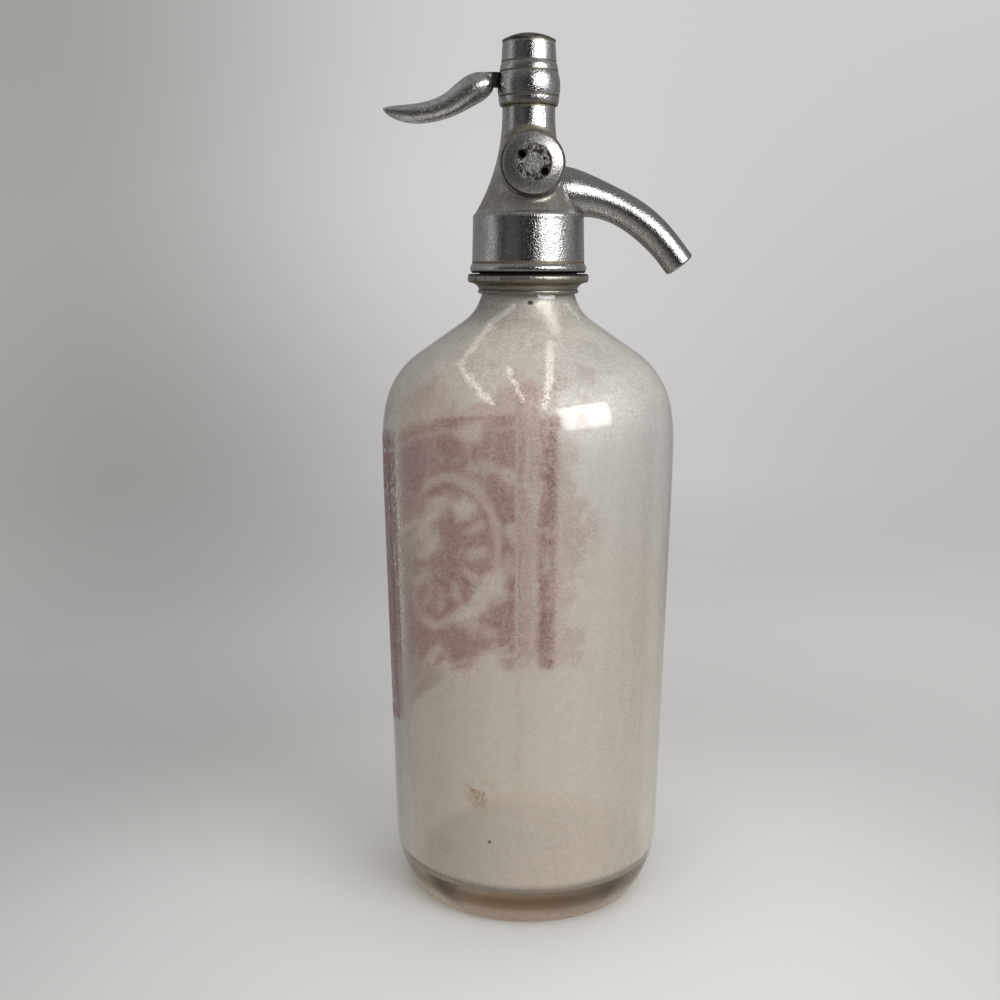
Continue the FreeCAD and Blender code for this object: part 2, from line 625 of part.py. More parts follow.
def packing_gland():
    """Slotted screw that squeezes the packing and guides the stem."""
    top = SPIGOT_TOP_Z - GLAND_TOP_GAP
    gland = tube(PACKING_BOX_R - SEATED_FIT, STEM_R + RUNNING_FIT, GLAND_Z, top)
    slot = block(-PACKING_BOX_R, PACKING_BOX_R, -GLAND_SLOT_W / 2, GLAND_SLOT_W / 2,
                 top - GLAND_SLOT_DEPTH, top)
    return gland.cut(slot)


def piston():
    """Valve stem with the windowed head that the lever lifts and the flange under the spring."""
    window_foot_z = PIVOT_Z - WINDOW_HALF_H
    head_z = window_foot_z - PISTON_WEB
    stem = rod(STEM_SPIGOT_R, STEM_Z - STEM_SPIGOT_L, STEM_Z).fuse(rod(STEM_R, STEM_Z, head_z))
    head = rod(PISTON_HEAD_R, head_z, PISTON_FLANGE_Z)
    half_w = TONGUE_T / 2 + WINDOW_SIDE_GAP
    head = head.cut(block(-PISTON_HEAD_R, PISTON_HEAD_R, -half_w, half_w,
                          window_foot_z, PIVOT_Z + WINDOW_HALF_H))
    flange = rod(BONNET_BORE_R - RUNNING_FIT, PISTON_FLANGE_Z, PISTON_TOP_Z)
    nub = rod(PISTON_NUB_R, PISTON_TOP_Z, PISTON_TOP_Z + PISTON_NUB_H)
    return stem.fuse(head).fuse(flange).fuse(nub).removeSplitter()


def spring_washer():
    """Ring that the spring stands on."""
    return tube(WASHER_R, PISTON_NUB_R + SEATED_FIT, PISTON_TOP_Z, SPRING_FOOT_Z)


def return_spring():
    """Coil spring that keeps the valve on its seat."""
    length = SPRING_TOP_Z - SPRING_FOOT_Z - 2 * SPRING_WIRE_R
    pitch = length / SPRING_TURNS
    path = Part.makeHelix(pitch, length, SPRING_R)
    path.translate(V(0, 0, SPRING_FOOT_Z + SPRING_WIRE_R))
    start = V(SPRING_R, 0, SPRING_FOOT_Z + SPRING_WIRE_R)
    along = V(0, 2 * math.pi * SPRING_R, pitch)
    section = Part.Wire(Part.makeCircle(SPRING_WIRE_R, start, along))
    return Part.Wire(path.Edges).makePipeShell([section], True, True)


# ---------------------------------------------------------------- bonnet, cap and lever

def bonnet():
    """Upper barrel: two bands and a bulge between fine lines, slotted at the back for the lever."""
    low_line = BONNET_Z + BONNET_LOW_BAND_H
    mid_line = low_line + BONNET_BULGE_H
    top_line = mid_line + BONNET_BAND_H
    bulge_out = BONNET_BULGE_R - (BONNET_LOW_LINE_R + BONNET_MID_LINE_R) / 2
    form = Outline(BONNET_BORE_R, BONNET_Z).to(BONNET_EDGE_R, BONNET_Z)
    for line_r, line_z, out in ((BONNET_LOW_LINE_R, low_line, BONNET_BAND_OUT),
                                (BONNET_MID_LINE_R, mid_line, bulge_out),
                                (BONNET_TOP_LINE_R, top_line, BONNET_BAND_OUT)):
        form.bow(line_r, line_z - BONNET_LINE_H / 2, out)
        form.bow(line_r, line_z + BONNET_LINE_H / 2, -BONNET_LINE_DEPTH)
    form.to(BONNET_TOP_R, BONNET_TOP_Z).to(BONNET_BORE_R, BONNET_TOP_Z)
    barrel = form.turned()
    barrel = barrel.cut(rod(SPIGOT_R + SEATED_FIT, BONNET_Z, SPIGOT_TOP_Z + SEATED_FIT))
    barrel = barrel.cut(rod(CAP_SHANK_R + SEATED_FIT, BONNET_TOP_Z - CAP_SHANK_L, BONNET_TOP_Z))
    half_w = TONGUE_T / 2 + WINDOW_SIDE_GAP
    swing = math.radians(LEVER_TURN)
    tongue_drop = (BONNET_BULGE_R + PIVOT_X) * math.tan(swing) + HUB_R / math.cos(swing)
    slot_foot = PIVOT_Z - tongue_drop - OPEN_GAP
    slot = block(-BONNET_BULGE_R * 2, PIVOT_X + HUB_R, -half_w, half_w,
                 slot_foot, PIVOT_Z + TONGUE_ROOT_TOP + OPEN_GAP)
    barrel = barrel.cut(slot)
    hole = side_rod(PIN_R + SEATED_FIT, Y_AXIS, -pin_front_y(), BONNET_BULGE_R, PIVOT_X, PIVOT_Z)
    return barrel.cut(hole)


def pin_front_y():
    """Length of the pin in front of the middle plane."""
    return TONGUE_T / 2 + WINDOW_SIDE_GAP + PIN_BURIED


def pin_back_y():
    """Place of the pin's end, just under the bonnet's surface."""
    return math.sqrt(BONNET_BULGE_R ** 2 - PIVOT_X ** 2) - PIN_BACK_SUNK


def lever_pin():
    """Plain pin that the lever turns on, pressed in from the back."""
    return side_rod(PIN_R, Y_AXIS, -pin_front_y(), pin_back_y(), PIVOT_X, PIVOT_Z)


def top_cap():
    """Domed screw cap with the spring's pocket in its shank."""
    form = Outline(0, BONNET_TOP_Z - CAP_SHANK_L)
    form.to(CAP_SHANK_R, BONNET_TOP_Z - CAP_SHANK_L).to(CAP_SHANK_R, BONNET_TOP_Z)
    form.to(CAP_R, BONNET_TOP_Z).to(CAP_R, BONNET_TOP_Z + CAP_EDGE_T)
    cap = form.dome(CAP_DOME_H).turned()
    return cap.cut(rod(CAP_POCKET_R, BONNET_TOP_Z - CAP_SHANK_L, SPRING_TOP_Z))


def horn_axis():
    """Points, headings and the length of the horn's two tangent arcs, as a function of share."""
    drop_length = math.radians(HORN_DROP_TURN) * HORN_DROP_ARC
    sweep_length = math.radians(HORN_SWEEP_TURN) * HORN_SWEEP_ARC
    whole = drop_length + sweep_length

    def place(share):
        path = Outline(HORN_START_X, PIVOT_Z + HORN_START_RISE, 180.0 + HORN_HEADING)
        gone = share * whole
        drop_share = min(gone / drop_length, 1.0)
        if drop_share > 0:
            path.turn(HORN_DROP_ARC, HORN_DROP_TURN * drop_share)
        if gone > drop_length:
            path.turn(HORN_SWEEP_ARC, -HORN_SWEEP_TURN * (gone - drop_length) / sweep_length)
        return path.at, path.heading

    return place


def lever():
    """Horn-shaped finger lever with a flat tongue, hub and rounded nose."""
    place = horn_axis()
    sections = []
    for share, half_h in HORN_STATIONS:
        centre, heading = place(share)
        upright = V(-rise(heading), 0, reach(heading))
        wide = centre + Y_AXIS * (half_h * HORN_WIDTH_SHARE)
        oval = Part.Ellipse(wide, centre + upright * half_h, centre)
        sections.append(Part.Wire(oval.toShape()))
    horn = Part.makeLoft(sections, True, False)

    def plate(*corners):
        points = [V(x, -TONGUE_T / 2, PIVOT_Z + z) for x, z in corners]
        return Part.Face(Part.makePolygon(points + points[:1])).extrude(Y_AXIS * TONGUE_T)

    root_x = HORN_START_X - NOSE_R
    tongue = plate((PIVOT_X, HUB_R), (root_x, TONGUE_ROOT_TOP), (root_x, TONGUE_ROOT_BOTTOM),
                   (PIVOT_X, -HUB_R))
    neck = plate((PIVOT_X, NOSE_NECK_TOP), (PIVOT_X, NOSE_NECK_BOTTOM), (0, NOSE_NECK_BOTTOM),
                 (0, NOSE_NECK_TOP))
    near, far = -TONGUE_T / 2, TONGUE_T / 2
    hub = side_rod(HUB_R, Y_AXIS, near, far, PIVOT_X, PIVOT_Z)
    nose = side_rod(NOSE_R, Y_AXIS, near, far, 0.0, PIVOT_Z)
    arm = horn.fuse(tongue).fuse(neck).fuse(hub).fuse(nose).removeSplitter()
    return arm.cut(side_rod(PIN_R + RUNNING_FIT, Y_AXIS, near, far, PIVOT_X, PIVOT_Z))


# ---------------------------------------------------------------- the whole siphon

def build():
    """Every node of the siphon by its name."""
    form = head_form()
    front, back = collar_halves()
    return {
        "bottle": bottle(),
        "dip_tube": dip_tube(),
        "tube_grommet": tube_grommet(),
        "tube_ferrule": tube_ferrule(),
        "head_gasket": head_gasket(),
        "collar_half_front": front,
        "collar_half_back": back,
        "head_body": head_body(form),
        "spout": spout(form),
        "side_plug_washer": side_plug_washer(),
        "side_plug": side_plug(),
        "valve_seat": valve_seat(),
        "valve_disc": valve_disc(),
        "valve_screw": valve_screw(),
        "valve_holder": valve_holder(),
        "stem_packing": stem_packing(),
        "packing_gland": packing_gland(),
        "piston": piston(),
        "spring_washer": spring_washer(),
        "return_spring": return_spring(),
        "bonnet": bonnet(),
        "lever_pin": lever_pin(),
        "top_cap": top_cap(),
        "lever": lever(),
    }


os.makedirs("parts", exist_ok=True)
for node, shape in build().items():
    shape.exportStep("parts/" + node + ".step")
    print(node, "solids", len(shape.Solids), "valid", shape.isValid(), "mm3", round(shape.Volume, 1))
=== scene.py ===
"""Dresses a soda siphon: a thick clouded glass bottle under a worn plated valve head.

The sizes in the dataclasses and in a material's calls are millimetres in the part's own frame,
with +Z up the bottle's axis, +X towards the spout and -Y towards the side plug. Meshes are made
in metres, and so is the studio.
"""

import logging
import math
from dataclasses import dataclass
from enum import Enum
from typing import Callable, Sequence, Union

import bmesh
import bpy
from mathutils import Matrix, Vector


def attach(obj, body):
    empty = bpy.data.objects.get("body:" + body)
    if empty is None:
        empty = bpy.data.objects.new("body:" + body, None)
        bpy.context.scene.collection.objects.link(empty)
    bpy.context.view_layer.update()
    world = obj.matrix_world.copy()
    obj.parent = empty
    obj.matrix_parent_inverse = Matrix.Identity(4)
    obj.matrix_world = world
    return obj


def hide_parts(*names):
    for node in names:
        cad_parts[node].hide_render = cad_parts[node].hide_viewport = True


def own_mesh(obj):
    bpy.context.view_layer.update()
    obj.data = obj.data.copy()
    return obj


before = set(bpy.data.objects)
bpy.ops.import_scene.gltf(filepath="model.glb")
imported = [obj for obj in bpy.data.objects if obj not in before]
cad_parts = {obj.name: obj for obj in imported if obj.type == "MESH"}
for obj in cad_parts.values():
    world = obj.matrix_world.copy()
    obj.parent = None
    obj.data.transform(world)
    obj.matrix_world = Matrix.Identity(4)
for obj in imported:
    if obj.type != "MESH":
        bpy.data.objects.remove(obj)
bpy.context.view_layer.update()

LOG = logging.getLogger("siphon")
MM = 0.001
ROOT = "bottle_and_head"
UP = (0.0, 0.0, 1.0)
Socket = bpy.types.NodeSocket
Value = Union[Socket, float]
Colour = tuple[float, float, float]
Triple = tuple[float, float, float]
Point = tuple[float, float]

BLACK: Colour = (0.0, 0.0, 0.0)
WHITE: Colour = (1.0, 1.0, 1.0)
UNSTRETCHED: Triple = (1.0, 1.0, 1.0)
FROM_THE_FRONT: Triple = (1.0, 0.0, 1.0)
MERGED = 1e-6


class Slot(Enum):
    """Names of the record's material slots, passed along with the new pieces."""

    GLASS = "bottle_glass"
    PLATE = "plated_metal"
    DARK = "dark_metal"
    STEEL = "steel"


# ------------------------------------------------------------------------------ drawing outlines


class Outline:
    """A half section drawn like a pen's path in radius and height, in millimetres."""

    def __init__(self, r: float, z: float, step: float = 3.0) -> None:
        """Puts the pen down.

        Args:
            r: Radius of the first point.
            z: Height of the first point.
            step: Degrees between the points of an arc.
        """
        self.points: list[Point] = [(r, z)]
        self.heading = 90.0
        self.step = step

    def to(self, r: float, z: float, spacing: float = 0.0) -> "Outline":
        """Draws a line to a point.

        Args:
            r: Radius of the end.
            z: Height of the end.
            spacing: Largest distance between points on the way, or 0 for none on the way.

        Returns:
            The outline, so that strokes can be chained.
        """
        r0, z0 = self.points[-1]
        length = math.hypot(r - r0, z - z0)
        count = max(1, math.ceil(length / spacing)) if spacing else 1
        self.points += [(r0 + (r - r0) * i / count, z0 + (z - z0) * i / count)
                        for i in range(1, count + 1)]
        self.heading = math.degrees(math.atan2(z - z0, r - r0))
        return self

    def run(self, length: float, spacing: float = 0.0) -> "Outline":
        """Draws a line straight ahead.

        Args:
            length: Its length.
            spacing: Largest distance between points on the way, or 0 for none on the way.

        Returns:
            The outline.
        """
        r, z = self.points[-1]
        ahead = math.radians(self.heading)
        return self.to(r + length * math.cos(ahead), z + length * math.sin(ahead), spacing)

    def turn(self, radius: float, degrees: float) -> "Outline":
        """Draws an arc tangent to the last stroke.

        Args:
            radius: Its radius.
            degrees: How far it turns, to the left where positive.

        Returns:
            The outline.
        """
        side = math.copysign(radius, degrees)
        r, z = self.points[-1]
        start = math.radians(self.heading)
        centre_r, centre_z = r - side * math.sin(start), z + side * math.cos(start)
        count = max(2, math.ceil(abs(degrees) / self.step))
        for i in range(1, count + 1):
            ahead = math.radians(self.heading + degrees * i / count)
            self.points.append((centre_r + side * math.sin(ahead),
                                centre_z - side * math.cos(ahead)))
        self.heading += degrees
        return self

    def bow(self, r: float, z: float, out: float, count: int = 8) -> "Outline":
        """Draws a shallow bow to a point.

        Args:
            r: Radius of the end.
            z: Height of the end.
            out: How far its middle stands to the right of the straight line.
            count: Points on it.

        Returns:
            The outline.
        """
        r0, z0 = self.points[-1]
        chord = math.hypot(r - r0, z - z0)
        across_r, across_z = (z - z0) / chord, -(r - r0) / chord
        for i in range(1, count + 1):
            share = i / count
            swell = out * 4.0 * share * (1.0 - share)
            self.points.append((r0 + (r - r0) * share + across_r * swell,
                                z0 + (z - z0) * share + across_z * swell))
        return self

    def dome(self, height: float) -> "Outline":
        """Draws an arc up to the axis, where it ends level.

        Args:
            height: How far the arc rises.

        Returns:
            The outline.
        """
        r = self.points[-1][0]
        arc = (r * r + height * height) / (2.0 * height)
        half_turn = math.degrees(math.asin(r / arc))
        self.heading = 180.0 - half_turn
        return self.turn(arc, half_turn)


def spun(points: Sequence[Point], closed: bool = False, steps: int = 192) -> bmesh.types.BMesh:
    """Spins a half section round the vertical axis.

    Args:
        points: The section, in millimetres.
        closed: Whether the section's last point joins its first.
        steps: Segments round the axis.

    Returns:
        A mesh in metres with outward normals.
    """
    bm = bmesh.new()
    verts = [bm.verts.new((r * MM, 0.0, z * MM)) for r, z in points]
    pairs = list(zip(verts, verts[1:])) + ([(verts[-1], verts[0])] if closed else [])
    edges = [bm.edges.new(pair) for pair in pairs]
    bmesh.ops.spin(bm, geom=verts + edges, cent=(0, 0, 0), axis=UP, angle=math.tau,
                   steps=steps, use_merge=True)
    bmesh.ops.remove_doubles(bm, verts=bm.verts, dist=MERGED)
    bmesh.ops.recalc_face_normals(bm, faces=bm.faces)
    return bm


def place(bm: bmesh.types.BMesh, name: str, slot: Slot, material: bpy.types.Material,
          *nodes: str, body: str = ROOT, crease: float = 32.0) -> bpy.types.Object:
    """Makes a shaded piece of a mesh and puts it in the frame.

    Args:
        bm: The mesh, which is freed.
        name: The piece's name.
        slot: The record's slot for its finish; not used.
        material: Its finish.
        nodes: The frame's nodes that it stands for.
        body: The body that it rides on.
        crease: Degrees between faces above which an edge is shaded sharp.

    Returns:
        The piece.
    """
    mesh = bpy.data.meshes.new(name)
    bm.to_mesh(mesh)
    bm.free()
    mesh.shade_smooth()
    mesh.set_sharp_from_angle(angle=math.radians(crease))
    mesh.materials.append(material)
    piece = bpy.data.objects.new(name, mesh)
    bpy.context.scene.collection.objects.link(piece)
    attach(piece, body)
    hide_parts(*nodes)
    LOG.info("piece %s: %d faces, for %s", name, len(mesh.polygons), ", ".join(nodes))
    return piece


def dress(material: bpy.types.Material, *nodes: str) -> None:
    """Gives nodes of the frame their finish.

    Args:
        material: The finish.
        nodes: The nodes' names.
    """
    for node in nodes:
        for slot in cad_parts[node].material_slots:
            slot.material = material
        LOG.info("node %s: %s", node, material.name)


# ------------------------------------------------------------------------------ node trees


class Graph:
    """Builds a node tree from short calls.

    x, y and z are the shaded place: millimetres on a piece, and the direction in the world.
    """

    def __init__(self, tree: bpy.types.NodeTree, output: str = "ShaderNodeOutputMaterial",
                 coordinates: str = "Object", unit: float = 1.0 / MM) -> None:
        """Empties a tree and starts it with its output and its place.

        Args:
            tree: The node tree.
            output: The kind of its output node.
            coordinates: The coordinates that the place is read from.
            unit: What the coordinates are multiplied by.
        """
        tree.nodes.clear()
        self.tree = tree
        self.unit = unit
        self.output = self.node(output)
        self.position = self.node("ShaderNodeTexCoord").outputs[coordinates]
        self.place = self.stretched((unit, unit, unit))
        self.x, self.y, self.z = self.split(self.place)

    def node(self, kind: str, **settings: object) -> bpy.types.Node:
        """Adds a node.

        Args:
            kind: Its type.
            settings: Its properties.

        Returns:
            The node.
        """
        made = self.tree.nodes.new(kind)
        for key, value in settings.items():
            setattr(made, key, value)
        return made

    def feed(self, socket: Socket, value: object) -> None:
        """Links a socket to an input, or sets the input's own value.

        Args:
            socket: The input.
            value: A socket, a number or a colour.
        """
        if isinstance(value, Socket):
            self.tree.links.new(value, socket)
        elif isinstance(value, tuple) and len(value) == 3 and socket.type == "RGBA":
            socket.default_value = (*value, 1.0)
        else:
            socket.default_value = value

    def shader(self, kind: str, **inputs: object) -> Socket:
        """Adds a shader.

        Args:
            kind: What follows ShaderNode in its type.
            inputs: What its inputs are fed, with underscores for the spaces in their names.

        Returns:
            The shader's socket.
        """
        made = self.node("ShaderNode" + kind)
        for key, value in inputs.items():
            self.feed(made.inputs[key.replace("_", " ")], value)
        return made.outputs[0]

    def end(self, surface: Socket, part: str = "Surface") -> None:
        """Links a shader to the tree's output."""
        self.tree.links.new(surface, self.output.inputs[part])

    def math(self, operation: str, a: Value, b: Value = 0.0, clamp: bool = False) -> Socket:
        """Adds a Math node.

        Args:
            operation: What it does.
            a: Its first number.
            b: Its second number.
            clamp: Whether the result is kept between nought and one.

        Returns:
            The result.
        """
        made = self.node("ShaderNodeMath", operation=operation, use_clamp=clamp)
        self.feed(made.inputs[0], a)
        self.feed(made.inputs[1], b)
        return made.outputs[0]

    def chain(self, operation: str, values: Sequence[Value], clamp: bool = False) -> Socket:
        """Joins values from left to right by one operation.

        Args:
            operation: What joins them.
            values: Two or more values.
            clamp: Whether the result is kept between nought and one.

        Returns:
            The result.
        """
        total = values[0]
        for index, value in enumerate(values[1:], start=2):
            total = self.math(operation, total, value, clamp and index == len(values))
        return total

    def times(self, *values: Value, clamp: bool = False) -> Socket:
        """The product of the values."""
        return self.chain("MULTIPLY", values, clamp)

    def plus(self, *values: Value, clamp: bool = False) -> Socket:
        """The sum of the values."""
        return self.chain("ADD", values, clamp)

    def most(self, *values: Value, clamp: bool = False) -> Socket:
        """The largest of the values."""
        return self.chain("MAXIMUM", values, clamp)

    def minus(self, a: Value, b: Value) -> Socket:
        """What is left of a without b."""
        return self.math("SUBTRACT", a, b)

    def rest(self, share: Value) -> Socket:
        """What is left of one."""
        return self.minus(1.0, share)

    def length(self, *parts: Value) -> Socket:
        """The length of a line from its parts along the axes."""
        return self.math("SQRT", self.plus(*(self.times(part, part) for part in parts)))

    def ramp(self, value: Value, low: float, high: float, to_low: float = 0.0,
             to_high: float = 1.0) -> Socket:
        """Maps a range smoothly to another and holds the ends.

        Args:
            value: The value.
            low: Where the range starts.
            high: Where it ends.
            to_low: The result at its start.
            to_high: The result at its end.

        Returns:
            The result.
        """
        made = self.node("ShaderNodeMapRange", interpolation_type="SMOOTHSTEP")
        for index, item in enumerate((value, low, high, to_low, to_high)):
            self.feed(made.inputs[index], item)
        return made.outputs[0]

    def band(self, value: Value, centre: float, half: float, soft: float) -> Socket:
        """One inside a band, falling to nought beside it.

        Args:
            value: The value.
            centre: The band's middle.
            half: Half its width.
            soft: The width of its fall.

        Returns:
            The share.
        """
        off = self.math("ABSOLUTE", self.minus(value, centre))
        return self.ramp(off, half, half + soft, 1.0, 0.0)

    def blend(self, share: Value, a: object, b: object, mode: str = "MIX") -> Socket:
        """Mixes two colours.

        Args:
            share: The share of b.
            a: A colour.
            b: Another colour.
            mode: How they mix.

        Returns:
            The colour.
        """
        made = self.node("ShaderNodeMix", data_type="RGBA", blend_type=mode)
        for index, item in ((0, share), (6, a), (7, b)):
            self.feed(made.inputs[index], item)
        return made.outputs[2]

    def mix(self, share: Value, a: Value, b: Value) -> Socket:
        """Mixes two numbers.

        Args:
            share: The share of b.
            a: A number.
            b: Another number.

        Returns:
            The number.
        """
        made = self.node("ShaderNodeMix", data_type="FLOAT")
        for index, item in ((0, share), (2, a), (3, b)):
            self.feed(made.inputs[index], item)
        return made.outputs[0]

    def grey(self, value: Value) -> Socket:
        """Makes a grey.

        Args:
            value: Its value.

        Returns:
            The colour.
        """
        made = self.node("ShaderNodeCombineColor")
        for socket in made.inputs:
            self.feed(socket, value)
        return made.outputs[0]

    def toned(self, colour: object, value: Value) -> Socket:
        """A colour made darker or lighter by a factor."""
        return self.blend(1.0, colour, self.grey(value), "MULTIPLY")

    def stretched(self, stretch: Triple) -> Socket:
        """Multiplies the coordinates.

        Args:
            stretch: What each axis is multiplied by.

        Returns:
            The vector.
        """
        made = self.node("ShaderNodeMapping")
        self.feed(made.inputs["Vector"], self.position)
        made.inputs["Scale"].default_value = stretch
        return made.outputs[0]

    def split(self, vector: Socket) -> Sequence[Socket]:
        """Takes a vector apart.

        Args:
            vector: The vector.

        Returns:
            Its three parts.
        """
        made = self.node("ShaderNodeSeparateXYZ")
        self.feed(made.inputs[0], vector)
        return made.outputs

    def noise(self, size: float, detail: float = 3.0, roughness: float = 0.55,
              stretch: Triple = UNSTRETCHED) -> Socket:
        """Cloudy noise.

        Args:
            size: About how large its features are.
            detail: How many finer layers it has.
            roughness: How strong the finer layers are.
            stretch: What each axis is multiplied by first.

        Returns:
            The noise, about 0.3 to 0.7.
        """
        made = self.node("ShaderNodeTexNoise")
        where = self.position if stretch == UNSTRETCHED else self.stretched(stretch)
        self.feed(made.inputs["Vector"], where)
        for key, value in (("Scale", 1.0 / (size * MM)), ("Detail", detail),
                           ("Roughness", roughness)):
            made.inputs[key].default_value = value
        return made.outputs["Fac"]

    def cells(self, size: float) -> Socket:
        """Distance to the nearest of scattered points.

        Args:
            size: About how far apart the points lie.

        Returns:
            The distance, as a share of size.
        """
        made = self.node("ShaderNodeTexVoronoi")
        self.feed(made.inputs["Vector"], self.position)
        made.inputs["Scale"].default_value = 1.0 / (size * MM)
        return made.outputs["Distance"]

    def away(self, x: float, y: float, z: float, stretch: Triple = UNSTRETCHED) -> Socket:
        """Distance from a point.

        Args:
            x: The point's x.
            y: Its y.
            z: Its z.
            stretch: What each axis is multiplied by first.

        Returns:
            The distance.
        """
        made = self.node("ShaderNodeVectorMath", operation="DISTANCE")
        self.feed(made.inputs[0], self.stretched(tuple(self.unit * part for part in stretch)))
        made.inputs[1].default_value = (x, y, z)
        return made.outputs["Value"]

    def near_line(self, start: Point, end: Point, reach: float) -> Socket:
        """One on a wandering line drawn across and up the front, and nought from reach on.

        Args:
            start: The line's start in x and z.
            end: Its end.
            reach: How far it shows to either side.

        Returns:
            The share.
        """
        run, rise = end[0] - start[0], end[1] - start[1]
        wander = self.ramp(self.noise(4.0, 3.0, 0.7), 0.3, 0.7, -0.6, 0.6)
        across = self.plus(self.minus(self.x, start[0]), wander)
        up = self.minus(self.z, start[1])
        along = self.plus(self.times(across, run), self.times(up, rise))
        share = self.math("DIVIDE", along, run * run + rise * rise, clamp=True)
        off = self.length(self.minus(across, self.times(share, run)),
                          self.minus(up, self.times(share, rise)))
        return self.ramp(off, 0.0, reach, 1.0, 0.0)

    def attribute(self, name: str) -> Socket:
        """A number stored on the mesh."""
        return self.node("ShaderNodeAttribute", attribute_name=name).outputs["Fac"]

    def bump(self, height: Value, depth: float, under: Union[Socket, None] = None) -> Socket:
        """Turns a height into a normal.

        Args:
            height: The height.
            depth: What a height of one stands for.
            under: The normal that it is laid on.

        Returns:
            The normal.
        """
        made = self.node("ShaderNodeBump")
        made.inputs["Distance"].default_value = depth * MM
        self.feed(made.inputs["Height"], height)
        if under:
            self.feed(made.inputs["Normal"], under)
        return made.outputs[0]

    def shade(self, share: Value, a: Socket, b: Socket) -> Socket:
        """Mixes two shaders.

        Args:
            share: The share of b.
            a: A shader.
            b: Another shader.

        Returns:
            The shader.
        """
        made = self.node("ShaderNodeMixShader")
        for index, item in enumerate((share, a, b)):
            self.feed(made.inputs[index], item)
        return made.outputs[0]

    def seen(self) -> Socket:
        """One where the camera sees the surface, itself or through glass."""
        path = self.node("ShaderNodeLightPath")
        return self.most(path.outputs["Is Camera Ray"], path.outputs["Is Transmission Ray"])

    def lit_through(self, walls: Socket, colour: object) -> Socket:
        """Lets light pass a wall of glass without bending, in a colour.

        Args:
            walls: The wall's shader.
            colour: What light comes out as.

        Returns:
            The shader.
        """
        shadow = self.node("ShaderNodeLightPath").outputs["Is Shadow Ray"]
        return self.shade(shadow, walls, self.shader("BsdfTransparent", Color=colour))


class Finish(Graph):
    """The node tree of one material."""

    def __init__(self, name: str) -> None:
        """Starts an empty material.

        Args:
            name: Its name.
        """
        self.material = bpy.data.materials.new(name)
        self.material.use_nodes = True
        super().__init__(self.material.node_tree)

    def done(self, surface: Socket) -> bpy.types.Material:
        """Ends the tree in a shader and gives its material."""
        self.end(surface)
        return self.material


Mask = Callable[[Graph], Socket]


# ------------------------------------------------------------------------------ finishes of glass


